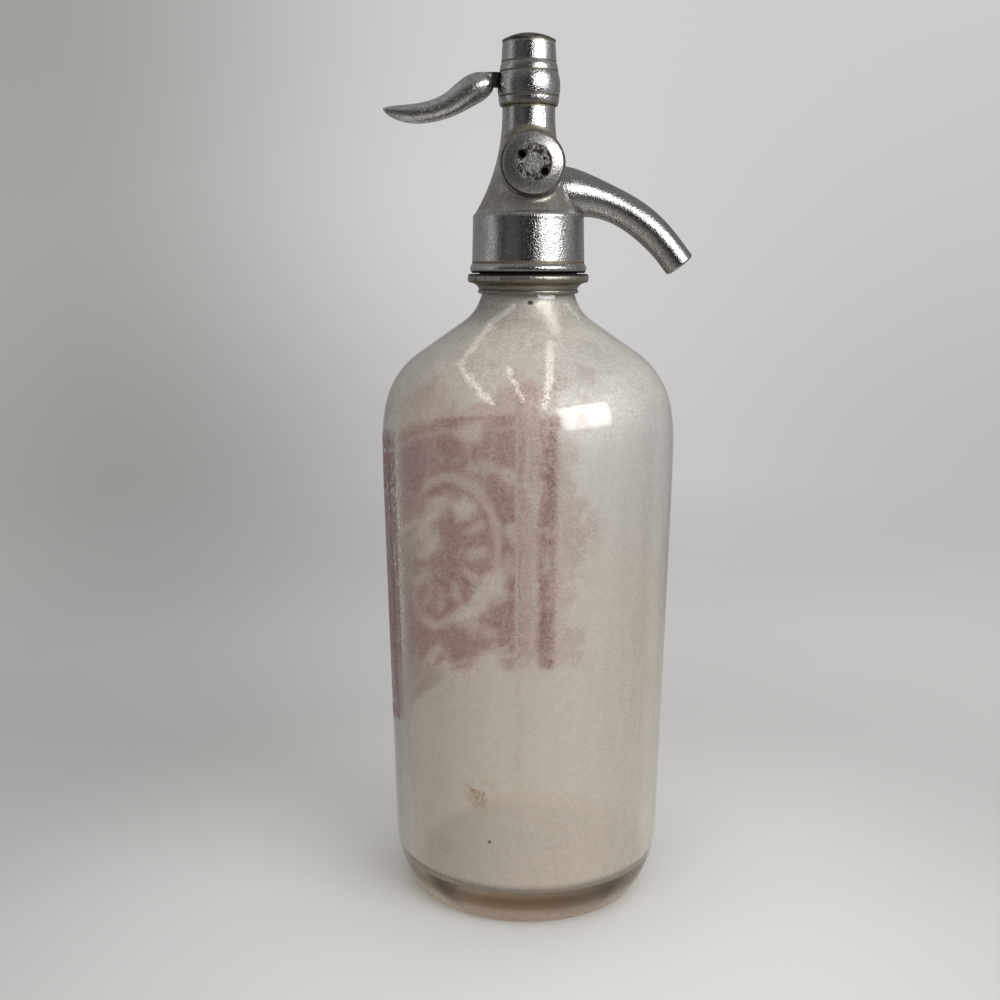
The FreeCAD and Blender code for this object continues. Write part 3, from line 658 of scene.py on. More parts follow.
@dataclass(frozen=True)
class CloudedGlass:
    """Old bottle glass: clouded on its inner wall, with a worn colour print on its outer wall.

    The mesh attribute inside tells the two walls apart.
    """

    print_azimuth: float = 132.4
    print_half_w: float = 55.4
    print_half_h: float = 52.5
    print_z: float = 118.5
    frame_half_w: float = 45.5
    frame_half_h: float = 46.5
    ring_r: float = 29.0
    rays_r: float = 19.0
    rays: float = 12.0
    print_edge: float = 0.4
    wall_r: float = 51.5
    shoulder_low: float = 150.0
    shoulder_high: float = 205.0
    floor_rim: float = 13.3
    red: Colour = (0.30, 0.055, 0.07)
    red_inside: Colour = (0.22, 0.020, 0.045)
    blush: Colour = (0.80, 0.48, 0.49)
    haze: Colour = (0.91, 0.85, 0.78)
    shoulder_haze: Colour = (0.99, 0.96, 0.92)
    floor_haze: Colour = (0.62, 0.50, 0.42)
    # Painted reflection: the bluish tint of the window's light on the shoulder.
    painted_window_tint: Colour = (0.84, 0.86, 0.93)
    # Painted highlight: the near white of the streaks on the shoulder.
    painted_streak: Colour = (1.0, 0.985, 0.96)
    stain: Colour = (0.44, 0.27, 0.12)
    speck: Colour = (0.14, 0.11, 0.10)
    tint: Colour = (0.96, 0.95, 0.92)
    # Painted shade: the dark olive of the belt round the outer heel.
    painted_heel_shade: Colour = (0.35, 0.25, 0.10)
    depth: Colour = (0.72, 0.63, 0.50)
    depth_density: float = 22.0
    # The painted highlight streaks: start and end in x and z, and how far each shows.
    streaks: tuple[tuple[Point, Point, float], ...] = (
        ((-5.4, 214.7), (-24.2, 193.6), 1.2), ((-24.2, 193.6), (-15.2, 184.3), 1.7),
        ((-9.2, 193.3), (-5.2, 185.1), 1.4), ((3.7, 215.4), (7.2, 205.7), 3.4),
        ((5.2, 200.5), (1.6, 183.5), 1.8), ((10.5, 213.8), (15.0, 207.9), 1.0))

    def coverage(self, g: Graph) -> Socket:
        """How much of the outer wall's print is left.

        Args:
            g: The graph of the glass.

        Returns:
            The share of print.
        """
        turned = g.node("ShaderNodeVectorRotate", rotation_type="Z_AXIS")
        g.feed(turned.inputs["Vector"], g.place)
        turned.inputs["Angle"].default_value = -math.radians(self.print_azimuth)
        x, y, z = g.split(turned.outputs[0])
        across = g.times(g.math("ARCTAN2", y, x), self.wall_r)
        beside, up = g.math("ABSOLUTE", across), g.minus(z, self.print_z)
        field = g.times(g.band(across, 0.0, self.print_half_w, self.print_edge),
                        g.band(up, 0.0, self.print_half_h, self.print_edge))
        frame_line = g.most(g.band(beside, self.frame_half_w, 0.8, 0.3),
                            g.band(g.math("ABSOLUTE", up), self.frame_half_h, 0.7, 0.3))
        from_centre = g.length(across, up)
        ring = g.band(from_centre, self.ring_r, 1.8, self.print_edge)
        wave = g.math("SINE", g.times(g.math("ARCTAN2", up, across), self.rays))
        rays = g.times(g.ramp(wave, 0.25, 0.45),
                       g.band(from_centre, self.rays_r, 5.0, self.print_edge))
        drawn = g.most(ring, rays, frame_line)
        specks = g.ramp(g.noise(1.4, 4.0, 0.75), 0.36, 0.50)
        border = g.times(g.ramp(beside, 43.0, 46.0), g.ramp(g.noise(5.0, 4.0, 0.7), 0.42, 0.52))
        worn = g.times(g.most(self.patches(g), border), specks,
                       g.rest(g.times(self.crazing(g), 0.4)))
        return g.times(field, worn, g.rest(g.times(drawn, 0.5)))

    def patches(self, g: Graph) -> Socket:
        """Broad patches, one where the print has held and the haze before it is thin."""
        return g.ramp(g.noise(24.0, 4.0, 0.6, (1.0, 0.05, 1.0)), 0.38, 0.50)

    def crazing(self, g: Graph) -> Socket:
        """Fine winding lines, one on a line."""
        return g.band(g.noise(2.4, 3.0, 0.7), 0.5, 0.008, 0.030)

    def thinned(self, g: Graph) -> Socket:
        """Where the haze is thin, so that the print behind it shows.

        Args:
            g: The graph of the glass.

        Returns:
            The share, which lies higher on the near wall, because the view looks down.
        """
        ragged = g.ramp(g.noise(18.0, 3.0, 0.6), 0.3, 0.7, -7.0, 7.0)
        higher_near = g.ramp(g.y, -30.0, 30.0, 21.0, 0.0)
        height = g.plus(g.minus(g.z, higher_near), ragged)
        before_print = g.times(g.band(height, self.print_z, 41.0, 10.0),
                               g.ramp(g.plus(g.x, ragged), 7.0, 17.0, 1.0, 0.0))
        border = g.band(g.x, 8.0, 6.0, 4.0)
        return g.times(g.most(self.patches(g), border), before_print)

    def painted_highlight_streaks(self, g: Graph) -> Socket:
        """Painted highlights: bright broken streaks on the front of the shoulder, standing in for
        reflections of light.

        Args:
            g: The graph of the glass.

        Returns:
            The share.
        """
        lines = g.most(0.0, *(g.near_line(*painted_streak) for painted_streak in self.streaks))
        broken = g.ramp(g.noise(0.6, 3.0, 0.85), 0.47, 0.58, 0.08, 1.0)
        return g.times(lines, broken, g.ramp(g.y, -8.0, 0.0, 1.0, 0.0))

    def cloud(self, g: Graph) -> Socket:
        """How cloudy the inner wall is.

        Args:
            g: The graph of the glass.

        Returns:
            The share.
        """
        thin = self.thinned(g)
        crusty = g.times(g.band(g.z, 198.0, 12.0, 14.0),
                         g.ramp(g.noise(14.0, 3.0, 0.6), 0.38, 0.52))
        grain = g.ramp(g.noise(1.3, 3.0, 0.75), 0.46, 0.60)
        runs = g.ramp(g.noise(7.0, 4.0, 0.6, (1.0, 1.0, 0.22)), 0.36, 0.64)
        crazed = g.times(g.most(grain, self.crazing(g)),
                         g.mix(g.most(thin, crusty), 0.10, 0.36))
        shoulder = g.ramp(g.z, self.shoulder_low, self.shoulder_high, 0.0, 0.30)
        # The painted highlight streaks also thicken the cloud.
        milk = g.plus(g.times(runs, 0.08), crazed, g.mix(thin, 0.50, 0.02), shoulder,
                      g.times(self.painted_highlight_streaks(g), 0.3))
        rim = g.band(g.z, self.floor_rim, 0.7, 0.5)
        return g.most(milk, g.times(rim, 0.95), clamp=True)

    def rust(self, g: Graph) -> Socket:
        """Two rusty stains low on the inner wall.

        Args:
            g: The graph of the glass.

        Returns:
            The share.
        """
        broken = g.times(g.ramp(g.noise(0.9, 4.0, 0.8), 0.44, 0.54),
                         g.ramp(g.noise(6.0, 3.0, 0.6), 0.40, 0.54))
        upper = g.ramp(g.away(-19.6, -42.2, 49.0), 3.0, 9.5, 1.0, 0.0)
        lower = g.ramp(g.away(-31.6, -34.1, 25.1), 2.0, 8.0, 0.6, 0.0)
        return g.times(g.most(upper, lower), broken)

    def pepper(self, g: Graph) -> Socket:
        """Scattered dark specks on the inner wall, and two larger ones that stand alone.

        Args:
            g: The graph of the glass.

        Returns:
            The share.
        """
        specks = g.times(g.ramp(g.cells(3.4), 0.05, 0.11, 1.0, 0.0),
                         g.ramp(g.noise(16.0, 2.0), 0.52, 0.62))
        neck = g.ramp(g.away(-0.2, -11.0, 215.4), 0.8, 1.0, 1.0, 0.0)
        low = g.ramp(g.away(-15.7, -41.2, 32.0), 0.55, 0.8, 1.0, 0.0)
        return g.most(g.times(specks, 0.7), neck, low)

    def scuffs(self, g: Graph) -> Socket:
        """How scuffed the outer wall is at the heel and foot."""
        broken = g.ramp(g.noise(2.4, 4.0, 0.65), 0.25, 0.65, 0.55, 1.0)
        return g.times(g.ramp(g.z, 1.5, 11.0, 0.52, 0.0), broken)

    def clear_wall(self, g: Graph, printed: Socket, inside: Socket) -> Socket:
        """The shader of glass that isn't clouded, with the print and a dark belt of painted shade
        round the heel.

        Args:
            g: The graph of the glass.
            printed: The share of print.
            inside: One on the inner wall.

        Returns:
            The shader.
        """
        # Painted shade: a dark belt round the outer heel, where the floor's shade shows through
        # the glass.
        heel_shade_share = g.times(g.band(g.z, 9.6, 1.6, 3.2), g.rest(inside))
        clear = g.blend(heel_shade_share, self.tint, self.painted_heel_shade)
        return g.shader("BsdfPrincipled", Base_Color=g.blend(printed, clear, self.red),
                        Roughness=g.mix(printed, 0.02, 0.5),
                        Transmission_Weight=g.rest(g.times(printed, 0.6)), IOR=1.5,
                        Normal=g.bump(g.noise(0.7, 2.0, 0.6), 0.018))

    def tone(self, g: Graph, shown: Socket, rust: Socket, pepper: Socket) -> Socket:
        """The colour of the clouded inner wall.

        Args:
            g: The graph of the glass.
            shown: Where the print shows through the far wall.
            rust: The share of rust.
            pepper: The share of dark specks.

        Returns:
            The colour.
        """
        tone = g.blend(g.ramp(g.z, self.shoulder_low, self.shoulder_high), self.haze,
                       self.shoulder_haze)
        tone = g.blend(g.ramp(g.z, 9.0, 12.2, 1.0, 0.0), tone, self.floor_haze)
        # Painted reflection: a bluish tint on the front right of the shoulder, where the window's
        # light falls.
        tone = g.blend(g.ramp(g.away(33.0, -38.0, 165.0), 10.0, 60.0, 0.8, 0.0), tone,
                       self.painted_window_tint)
        on_shoulder = self.on_shoulder(g)
        grain = g.ramp(g.noise(0.9, 4.0, 0.8), 0.38, 0.58, g.mix(self.thinned(g), 0.86, 0.70),
                       1.0)
        crust = g.ramp(g.noise(2.6, 5.0, 0.75, (1.0, 1.0, 0.6)), 0.40, 0.60, 0.87, 1.0)
        lines = g.times(self.crazing(g), on_shoulder, g.ramp(g.noise(12.0, 2.0), 0.42, 0.58))
        tone = g.toned(tone, g.times(grain, g.mix(on_shoulder, 1.0, crust),
                                     g.rest(g.times(lines, 0.30))))
        near = g.ramp(g.y, -30.0, -10.0, 0.6, 0.0)
        tone = g.blend(g.times(self.thinned(g), near), tone, self.blush)
        tone = g.blend(g.times(shown, 0.95), tone, self.red_inside)
        # Painted highlight: the streaks are painted near white.
        tone = g.blend(self.painted_highlight_streaks(g), tone, self.painted_streak)
        tone = g.blend(rust, tone, self.stain)
        return g.blend(pepper, tone, self.speck)

    def on_shoulder(self, g: Graph) -> Socket:
        """One on the shoulder and nought on the wall below it."""
        return g.ramp(g.z, 170.0, 195.0)

    def milky_wall(self, g: Graph, tone: Socket, pepper: Socket) -> Socket:
        """The shader of the cloud: chalky, a little translucent, with glints and sparkle, and an
        added gloss along the painted highlight streaks.

        Args:
            g: The graph of the glass.
            tone: Its colour.
            pepper: The share of dark specks, which don't shine.

        Returns:
            The shader.
        """
        soft = g.shade(0.22, g.shader("BsdfDiffuse", Color=tone),
                       g.shader("BsdfTranslucent", Color=tone))
        glint = g.shader("BsdfGlossy", Roughness=0.38,
                         Normal=g.bump(g.noise(0.7, 2.0, 0.7), 0.22))
        gloss = g.times(g.ramp(g.z, 160.0, 200.0, 0.14, 0.24), g.rest(pepper))
        soft = g.shade(gloss, soft, glint)
        glitter = g.times(g.ramp(g.noise(0.8, 3.0, 0.8), 0.52, 0.62), 0.16)
        # Painted highlight: the streaks get an added gloss on top of the cloud's own.
        lively = g.plus(g.times(self.painted_highlight_streaks(g), 1.2),
                        g.times(self.on_shoulder(g), glitter))
        spark = g.shader("BsdfGlossy", Color=g.grey(lively), Roughness=0.34,
                         Normal=g.bump(g.noise(0.6, 3.0, 0.8), 0.55))
        both = g.node("ShaderNodeAddShader")
        g.feed(both.inputs[0], soft)
        g.feed(both.inputs[1], spark)
        return both.outputs[0]

    def make(self) -> bpy.types.Material:
        """Builds the material.

        Returns:
            The material.
        """
        g = Finish("clouded_glass")
        inside = g.ramp(g.attribute("inside"), 0.4, 0.6)
        coverage = self.coverage(g)
        printed = g.times(coverage, g.rest(inside))
        shown = g.times(coverage, inside, g.ramp(g.y, -30.0, -10.0))
        rust, pepper = self.rust(g), self.pepper(g)
        milk = g.most(g.mix(inside, self.scuffs(g), self.cloud(g)),
                      g.times(g.most(rust, pepper), inside), shown)
        tone = self.tone(g, shown, rust, pepper)
        walls = g.shade(milk, self.clear_wall(g, printed, inside),
                        self.milky_wall(g, tone, pepper))
        blocked = g.most(g.times(milk, 0.55), g.times(printed, 0.8))
        g.end(g.shader("VolumeAbsorption", Color=self.depth, Density=self.depth_density),
              "Volume")
        return g.done(g.lit_through(walls, g.blend(blocked, self.tint, BLACK)))


@dataclass(frozen=True)
class TubeGlass:
    """Clear thin glass with a light haze, for the dip tube."""

    tint: Colour = (0.985, 0.98, 0.97)
    haze: Colour = (0.86, 0.80, 0.74)
    milk: float = 0.14

    def make(self) -> bpy.types.Material:
        """Builds the material.

        Returns:
            The material.
        """
        g = Finish("tube_glass")
        glass = g.shader("BsdfPrincipled", Base_Color=self.tint, Roughness=0.05,
                         Transmission_Weight=1.0, IOR=1.3)
        patchy = g.ramp(g.noise(6.0, 4.0, 0.6), 0.3, 0.7, 0.5 * self.milk, 1.5 * self.milk)
        walls = g.shade(patchy, glass, g.shader("BsdfDiffuse", Color=self.haze))
        return g.done(g.lit_through(walls, self.tint))


# ------------------------------------------------------------------------------ dirt, painted shade and relief


@dataclass(frozen=True)
class DirtAndShadeRings:
    """Dirt in rings round the axis, such as in turned lines, and painted shade in rings in gaps
    under beads and at joints.

    Each ring has a height, a half height and a share.
    """

    rings: tuple[Triple, ...]
    fade: float = 1.2

    def __call__(self, g: Graph) -> Socket:
        """The share of dirt."""
        return g.most(0.0, *(g.times(g.band(g.z, level, half, half * self.fade), share)
                             for level, half, share in self.rings))


@dataclass(frozen=True)
class CastDirtAndShade:
    """Dirt and painted shade on the casting: rings, an arc of dirt over the plug's boss, and a
    film of dirt on the low flare.
    """

    rings: DirtAndShadeRings
    boss_z: float = 262.7
    boss_r: float = 11.2
    film_foot: float = 247.0
    film_top: float = 265.0

    def __call__(self, g: Graph) -> Socket:
        """The share of dirt.

        Args:
            g: The graph of the casting.

        Returns:
            The share.
        """
        rise = g.minus(g.z, self.boss_z)
        front = g.ramp(g.y, -7.0, -3.0, 1.0, 0.0)
        arc = g.times(g.band(g.length(g.x, rise), self.boss_r + 0.9, 0.7, 1.5), front)
        upper = g.ramp(rise, -4.0, 8.0, 0.35, 0.8)
        film = g.times(g.ramp(g.z, 250.0, self.film_top, 0.66, 0.0),
                       g.ramp(g.noise(4.0, 3.0, 0.6), 0.35, 0.62, 0.45, 1.0),
                       g.ramp(g.z, self.film_foot, 248.5))
        return g.most(g.times(arc, upper), film, self.rings(g))


@dataclass(frozen=True)
class PlugDirtAndShade:
    """Dirt and painted shade on the side plug: painted shade, near black, in its two spanner
    holes, dirt in its recess's worn ring, and darker at the recess's edge and at the rim.
    """

    z: float = 262.7
    hole_spacing: float = 9.5
    hole_slope: float = 36.0
    hole_r: float = 1.45
    worn_ring_r: float = 4.7
    face_r: float = 6.1
    flange_r: float = 10.4

    def __call__(self, g: Graph) -> Socket:
        """The share of dirt.

        Args:
            g: The graph of the plug.

        Returns:
            The share.
        """
        out, up = (self.hole_spacing / 2 * part(math.radians(self.hole_slope))
                   for part in (math.cos, math.sin))
        to_hole = g.math("MINIMUM", g.away(-out, 0.0, self.z + up, FROM_THE_FRONT),
                         g.away(out, 0.0, self.z - up, FROM_THE_FRONT))
        # Painted shade: the spanner holes are made near black, past one.
        holes = g.times(g.ramp(to_hole, self.hole_r, self.hole_r + 0.3, 1.0, 0.0), 2.2)
        off = g.away(0.0, 0.0, self.z, FROM_THE_FRONT)
        worn = g.times(g.band(off, self.worn_ring_r, 1.0, 0.5),
                       g.ramp(g.noise(1.5, 3.0, 0.7), 0.44, 0.56), 1.5)
        edge = g.times(g.band(off, self.face_r + 0.1, 0.1, 0.3), 0.8)
        rim = g.ramp(off, self.flange_r - 0.3, self.flange_r, 0.0, 0.8)
        return g.most(holes, worn, edge, rim)


@dataclass(frozen=True)
class PlugDome:
    """The rounding of the side plug's flange, worn by many wrenches."""

    z: float = 262.7
    face_r: float = 6.1
    round_r: float = 17.0

    def __call__(self, g: Graph) -> Socket:
        """The height in millimetres, falling from the recess's edge to the rim."""
        past = g.most(g.minus(g.away(0.0, 0.0, self.z, FROM_THE_FRONT), self.face_r), 0.0)
        return g.times(past, past, -0.5 / self.round_r)


@dataclass(frozen=True)
class TongueDirtAndShade:
    """Dirt in the lever horn's creases, and near black on the tongue where it enters the bonnet:
    painted shade with dirt.
    """

    root_x: float = -13.4

    def __call__(self, g: Graph) -> Socket:
        """The share of dirt."""
        creases = g.times(g.ramp(g.noise(1.2, 4.0, 0.75), 0.56, 0.68), 0.4)
        # Painted shade with dirt: the tongue's root is made near black, past one.
        return g.most(creases, g.times(g.ramp(g.x, self.root_x, self.root_x + 0.8), 1.6))


# ------------------------------------------------------------------------------ finishes of metal


@dataclass(frozen=True)
class WornPlate:
    """Nickel and tin plate that has gone dull and pitted, with dirt in its corners, and painted
    shade, near black, in its gaps and holes.
    """

    name: str
    bright: Colour = (0.50, 0.50, 0.495)
    dull: Colour = (0.30, 0.295, 0.28)
    dirt: Colour = (0.125, 0.098, 0.052)
    pit: Colour = (0.05, 0.045, 0.04)
    soot_and_shade: Colour = (0.012, 0.010, 0.008)
    rough: float = 0.11
    dirt_rough: float = 0.45
    grain: float = 0.55
    grain_depth: float = 0.11
    wave_depth: float = 0.045
    streak_depth: float = 0.045
    speckle: float = 0.76

    def make(self, dirt_and_shade_mask: Union[Mask, None] = None,
             relief: Union[Mask, None] = None) -> bpy.types.Material:
        """Builds the material.

        Args:
            dirt_and_shade_mask: Gives the share of dirt and painted shade from the graph, where
                the piece has corners and gaps. Past one it turns near black: painted shade with
                soot.
            relief: Gives a height in millimetres that the face is rounded by.

        Returns:
            The material.
        """
        g = Finish(self.name)
        patches = g.noise(7.0, 5.0, 0.6)
        streaks = g.noise(1.6, 3.0, 0.6, (1.0, 1.0, 0.10))
        grain = g.noise(self.grain, 2.0, 0.65)
        pits = g.times(g.ramp(g.cells(1.3), 0.06, 0.16, 1.0, 0.0),
                       g.ramp(g.noise(5.0, 2.0), 0.54, 0.66))
        wear = g.plus(g.times(g.ramp(patches, 0.40, 0.70), 0.35),
                      g.times(g.ramp(streaks, 0.42, 0.66), 0.35),
                      g.times(g.ramp(grain, 0.50, 0.36), 0.4), clamp=True)
        colour = g.blend(pits, g.blend(wear, self.bright, self.dull), self.pit)
        colour = g.toned(colour, g.ramp(g.noise(0.5, 2.0, 0.8), 0.40, 0.58, self.speckle, 1.08))
        matt = g.ramp(g.noise(0.6, 3.0, 0.75), 0.54, 0.62)
        rough = g.plus(self.rough, g.times(wear, 0.10), g.times(matt, 0.19))
        metal: Value = 1.0
        if dirt_and_shade_mask:
            mask = dirt_and_shade_mask(g)
            dirt = g.times(mask, g.ramp(g.noise(1.1, 4.0, 0.7), 0.25, 0.60, 0.65, 1.1),
                           clamp=True)
            colour = g.blend(dirt, colour, self.dirt)
            # Painted shade: past one the mask paints near black, in gaps, holes and at the lever's
            # tongue, with soot.
            colour = g.blend(g.ramp(mask, 1.0, 1.5), colour, self.soot_and_shade)
            rough = g.mix(dirt, rough, self.dirt_rough)
            metal = g.rest(g.times(dirt, 0.4))
        under = g.bump(relief(g), 1.0) if relief else None
        normal = g.bump(g.noise(3.2, 2.0, 0.5), self.wave_depth, under)
        normal = g.bump(g.noise(0.8, 2.0, 0.6, (1.0, 1.0, 0.12)), self.streak_depth, normal)
        normal = g.bump(g.minus(grain, g.times(pits, 0.8)), self.grain_depth, normal)
        return g.done(g.shader("BsdfPrincipled", Base_Color=colour, Metallic=metal,
                               Roughness=rough, Normal=normal))


@dataclass(frozen=True)
class PlainFinish:
    """A finish of one material with a little mottle: brass, steel, rubber or fibre."""

    name: str
    tone: Colour
    mottle: Colour
    metallic: float
    rough: float
    grain: float = 1.2

    def make(self) -> bpy.types.Material:
        """Builds the material.

        Returns:
            The material.
        """
        g = Finish(self.name)
        cloud = g.noise(self.grain * 4.0, 4.0, 0.6)
        grain = g.noise(self.grain, 3.0, 0.6)
        return g.done(g.shader(
            "BsdfPrincipled", Base_Color=g.blend(g.ramp(cloud, 0.35, 0.7), self.tone, self.mottle),
            Metallic=self.metallic, Roughness=g.plus(self.rough, g.times(grain, 0.15)),
            Normal=g.bump(grain, 0.02)))


DARK_METAL = PlainFinish("dark_metal", (0.05, 0.046, 0.042), (0.13, 0.12, 0.11), 0.9, 0.42)
RUBBER = PlainFinish("rubber", (0.035, 0.033, 0.031), (0.06, 0.055, 0.05), 0.0, 0.6)
FIBRE = PlainFinish("fibre", (0.030, 0.024, 0.018), (0.16, 0.145, 0.12), 0.3, 0.55, 0.8)
BRASS = PlainFinish("brass", (0.62, 0.46, 0.22), (0.40, 0.28, 0.13), 1.0, 0.32)
STEEL = PlainFinish("steel", (0.50, 0.50, 0.50), (0.34, 0.33, 0.32), 1.0, 0.30)


# ------------------------------------------------------------------------------ the bottle


@dataclass
class Bottle:
    """Thick glass: foot ring, heel, tapering wall, shoulder, grooved neck and lip."""

    height: float = 239.6
    girth_r: float = 52.3
    wall: float = 5.4
    taper: float = 1.38
    girth_arc: float = 830.0
    floor: float = 12.4
    floor_corner: float = 5.0
    heel_edge: float = 3.0
    heel_arc: float = 38.0
    heel_angle: float = 54.7
    foot_ring: float = 5.0
    push_up: float = 2.4
    broad_arc: float = 61.6
    broad_turn: float = 11.9
    tight_arc: float = 29.8
    slope: float = 55.3
    cove: float = 15.4
    neck_r: float = 16.25
    bore_r: float = 9.6
    neck_length: float = 17.5
    groove_depth: float = 2.6
    groove_height: float = 8.7
    lip_height: float = 5.4
    lip_r: float = 15.3

    def slope_length(self, inset: float, neck_r: float) -> float:
        """Length of the shoulder's straight slope.

        Args:
            inset: How far the wall lies inside the outer one.
            neck_r: The radius that it ends at.

        Returns:
            The length.
        """
        broad, slope = math.radians(self.broad_turn), math.radians(self.slope)
        arcs = ((self.broad_arc - inset) * (1 - math.cos(broad))
                + (self.tight_arc - inset) * (math.cos(broad) - math.cos(slope))
                + (self.cove + inset) * (1 - math.cos(slope)))
        return (self.girth_r - inset - neck_r - arcs) / math.sin(slope)

    def girth_level(self) -> float:
        """Height of the widest girth, worked down from the neck.

        Returns:
            The height.
        """
        broad, slope = math.radians(self.broad_turn), math.radians(self.slope)
        return (self.height - self.neck_length - self.broad_arc * math.sin(broad)
                - self.tight_arc * (math.sin(slope) - math.sin(broad))
                - self.slope_length(0.0, self.neck_r) * math.cos(slope)
                - self.cove * math.sin(slope))

    def wall_radius(self, z: float, inset: float) -> float:
        """Radius of the tapering wall.

        Args:
            z: The height.
            inset: How far the wall lies inside the outer one.

        Returns:
            The radius.
        """
        arc, lean = self.girth_arc - inset, math.radians(self.taper)
        top_r = self.girth_r - inset - arc * (1 - math.cos(lean))
        return top_r - (self.girth_level() - arc * math.sin(lean) - z) * math.tan(lean)

    def climb(self, outline: Outline, inset: float, neck_r: float) -> Outline:
        """Carries an outline up the wall, over the shoulder and into the neck.

        Args:
            outline: The outline, at the foot of the wall.
            inset: How far the wall lies inside the outer one.
            neck_r: The neck's radius.

        Returns:
            The outline.
        """
        arc, lean = self.girth_arc - inset, math.radians(self.taper)
        outline.to(self.girth_r - inset - arc * (1 - math.cos(lean)),
                   self.girth_level() - arc * math.sin(lean), spacing=4.0)
        outline.step = 0.4
        outline.turn(arc, self.taper)
        outline.step = 2.0
        outline.turn(self.broad_arc - inset, self.broad_turn)
        outline.turn(self.tight_arc - inset, self.slope - self.broad_turn)
        outline.run(self.slope_length(inset, neck_r), spacing=1.5)
        return outline.turn(self.cove + inset, -self.slope)

    def outside(self) -> Outline:
        """The outer section, from the push-up's middle to the lip.

        Returns:
            The outline.
        """
        lean = 90.0 - self.taper
        foot, upright = math.radians(self.heel_angle), math.radians(lean)
        heel_z = (self.heel_edge * (1 - math.cos(foot))
                  + self.heel_arc * (math.cos(foot) - math.cos(upright)))
        foot_r = (self.wall_radius(heel_z, 0.0) - self.heel_edge * math.sin(foot)
                  - self.heel_arc * (math.sin(upright) - math.sin(foot)))
        form = Outline(0.0, self.push_up)
        form.points = Outline(foot_r - self.foot_ring, 0.0).dome(self.push_up).points[::-1]
        form.to(foot_r, 0.0)
        form.turn(self.heel_edge, self.heel_angle)
        form.turn(self.heel_arc, lean - self.heel_angle)
        self.climb(form, 0.0, self.neck_r)
        groove_mid = self.height - self.lip_height - self.groove_height
        groove_r, half_slope = self.neck_r - self.groove_depth, self.groove_depth / 2
        form.to(self.neck_r, groove_mid - half_slope).to(groove_r, groove_mid + half_slope)
        form.to(groove_r, self.height - self.lip_height)
        return form.to(self.lip_r, self.height - self.lip_height).to(self.lip_r, self.height)

    def inside(self) -> Outline:
        """The inner section, from the floor's middle to the lip.

        Returns:
            The outline.
        """
        lean = 90.0 - self.taper
        upright = math.radians(lean)
        form = Outline(0.0, self.floor)
        corner_z = self.floor + self.floor_corner * (1 - math.cos(upright))
        form.to(self.wall_radius(corner_z, self.wall) - self.floor_corner * math.sin(upright),
                self.floor)
        form.turn(self.floor_corner, lean)
        return self.climb(form, self.wall, self.bore_r).to(self.bore_r, self.height)

    def is_inner(self, co: Vector, outer_wall: Sequence[Point]) -> bool:
        """Whether a point of the mesh lies on the inner wall.

        Args:
            co: The point, in metres.
            outer_wall: The outer section.

        Returns:
            Whether it does.
        """
        r, z = math.hypot(co.x, co.y) / MM, co.z / MM
        if z > self.height - self.neck_length:
            return r < (self.bore_r + self.neck_r - self.groove_depth) / 2
        if z <= self.floor + 0.1:
            return z > self.floor - 0.1 and r < self.girth_r - self.wall * 1.4
        near = min(outer_wall, key=lambda point: math.hypot(point[0] - r, point[1] - z))
        return math.hypot(near[0] - r, near[1] - z) > self.wall / 2

    def build(self) -> None:
        """Models the bottle, marks its inner wall, and dresses it and its dip tube."""
        outer = self.outside().points
        bm = spun(outer + self.inside().points[::-1])
        layer = bm.verts.layers.float.new("inside")
        for vert in bm.verts:
            vert[layer] = float(self.is_inner(vert.co, outer))
        place(bm, "glass_bottle", Slot.GLASS, CloudedGlass().make(), "bottle", crease=50.0)
        dress(TubeGlass().make(), "dip_tube")


# ------------------------------------------------------------------------------ the valve head


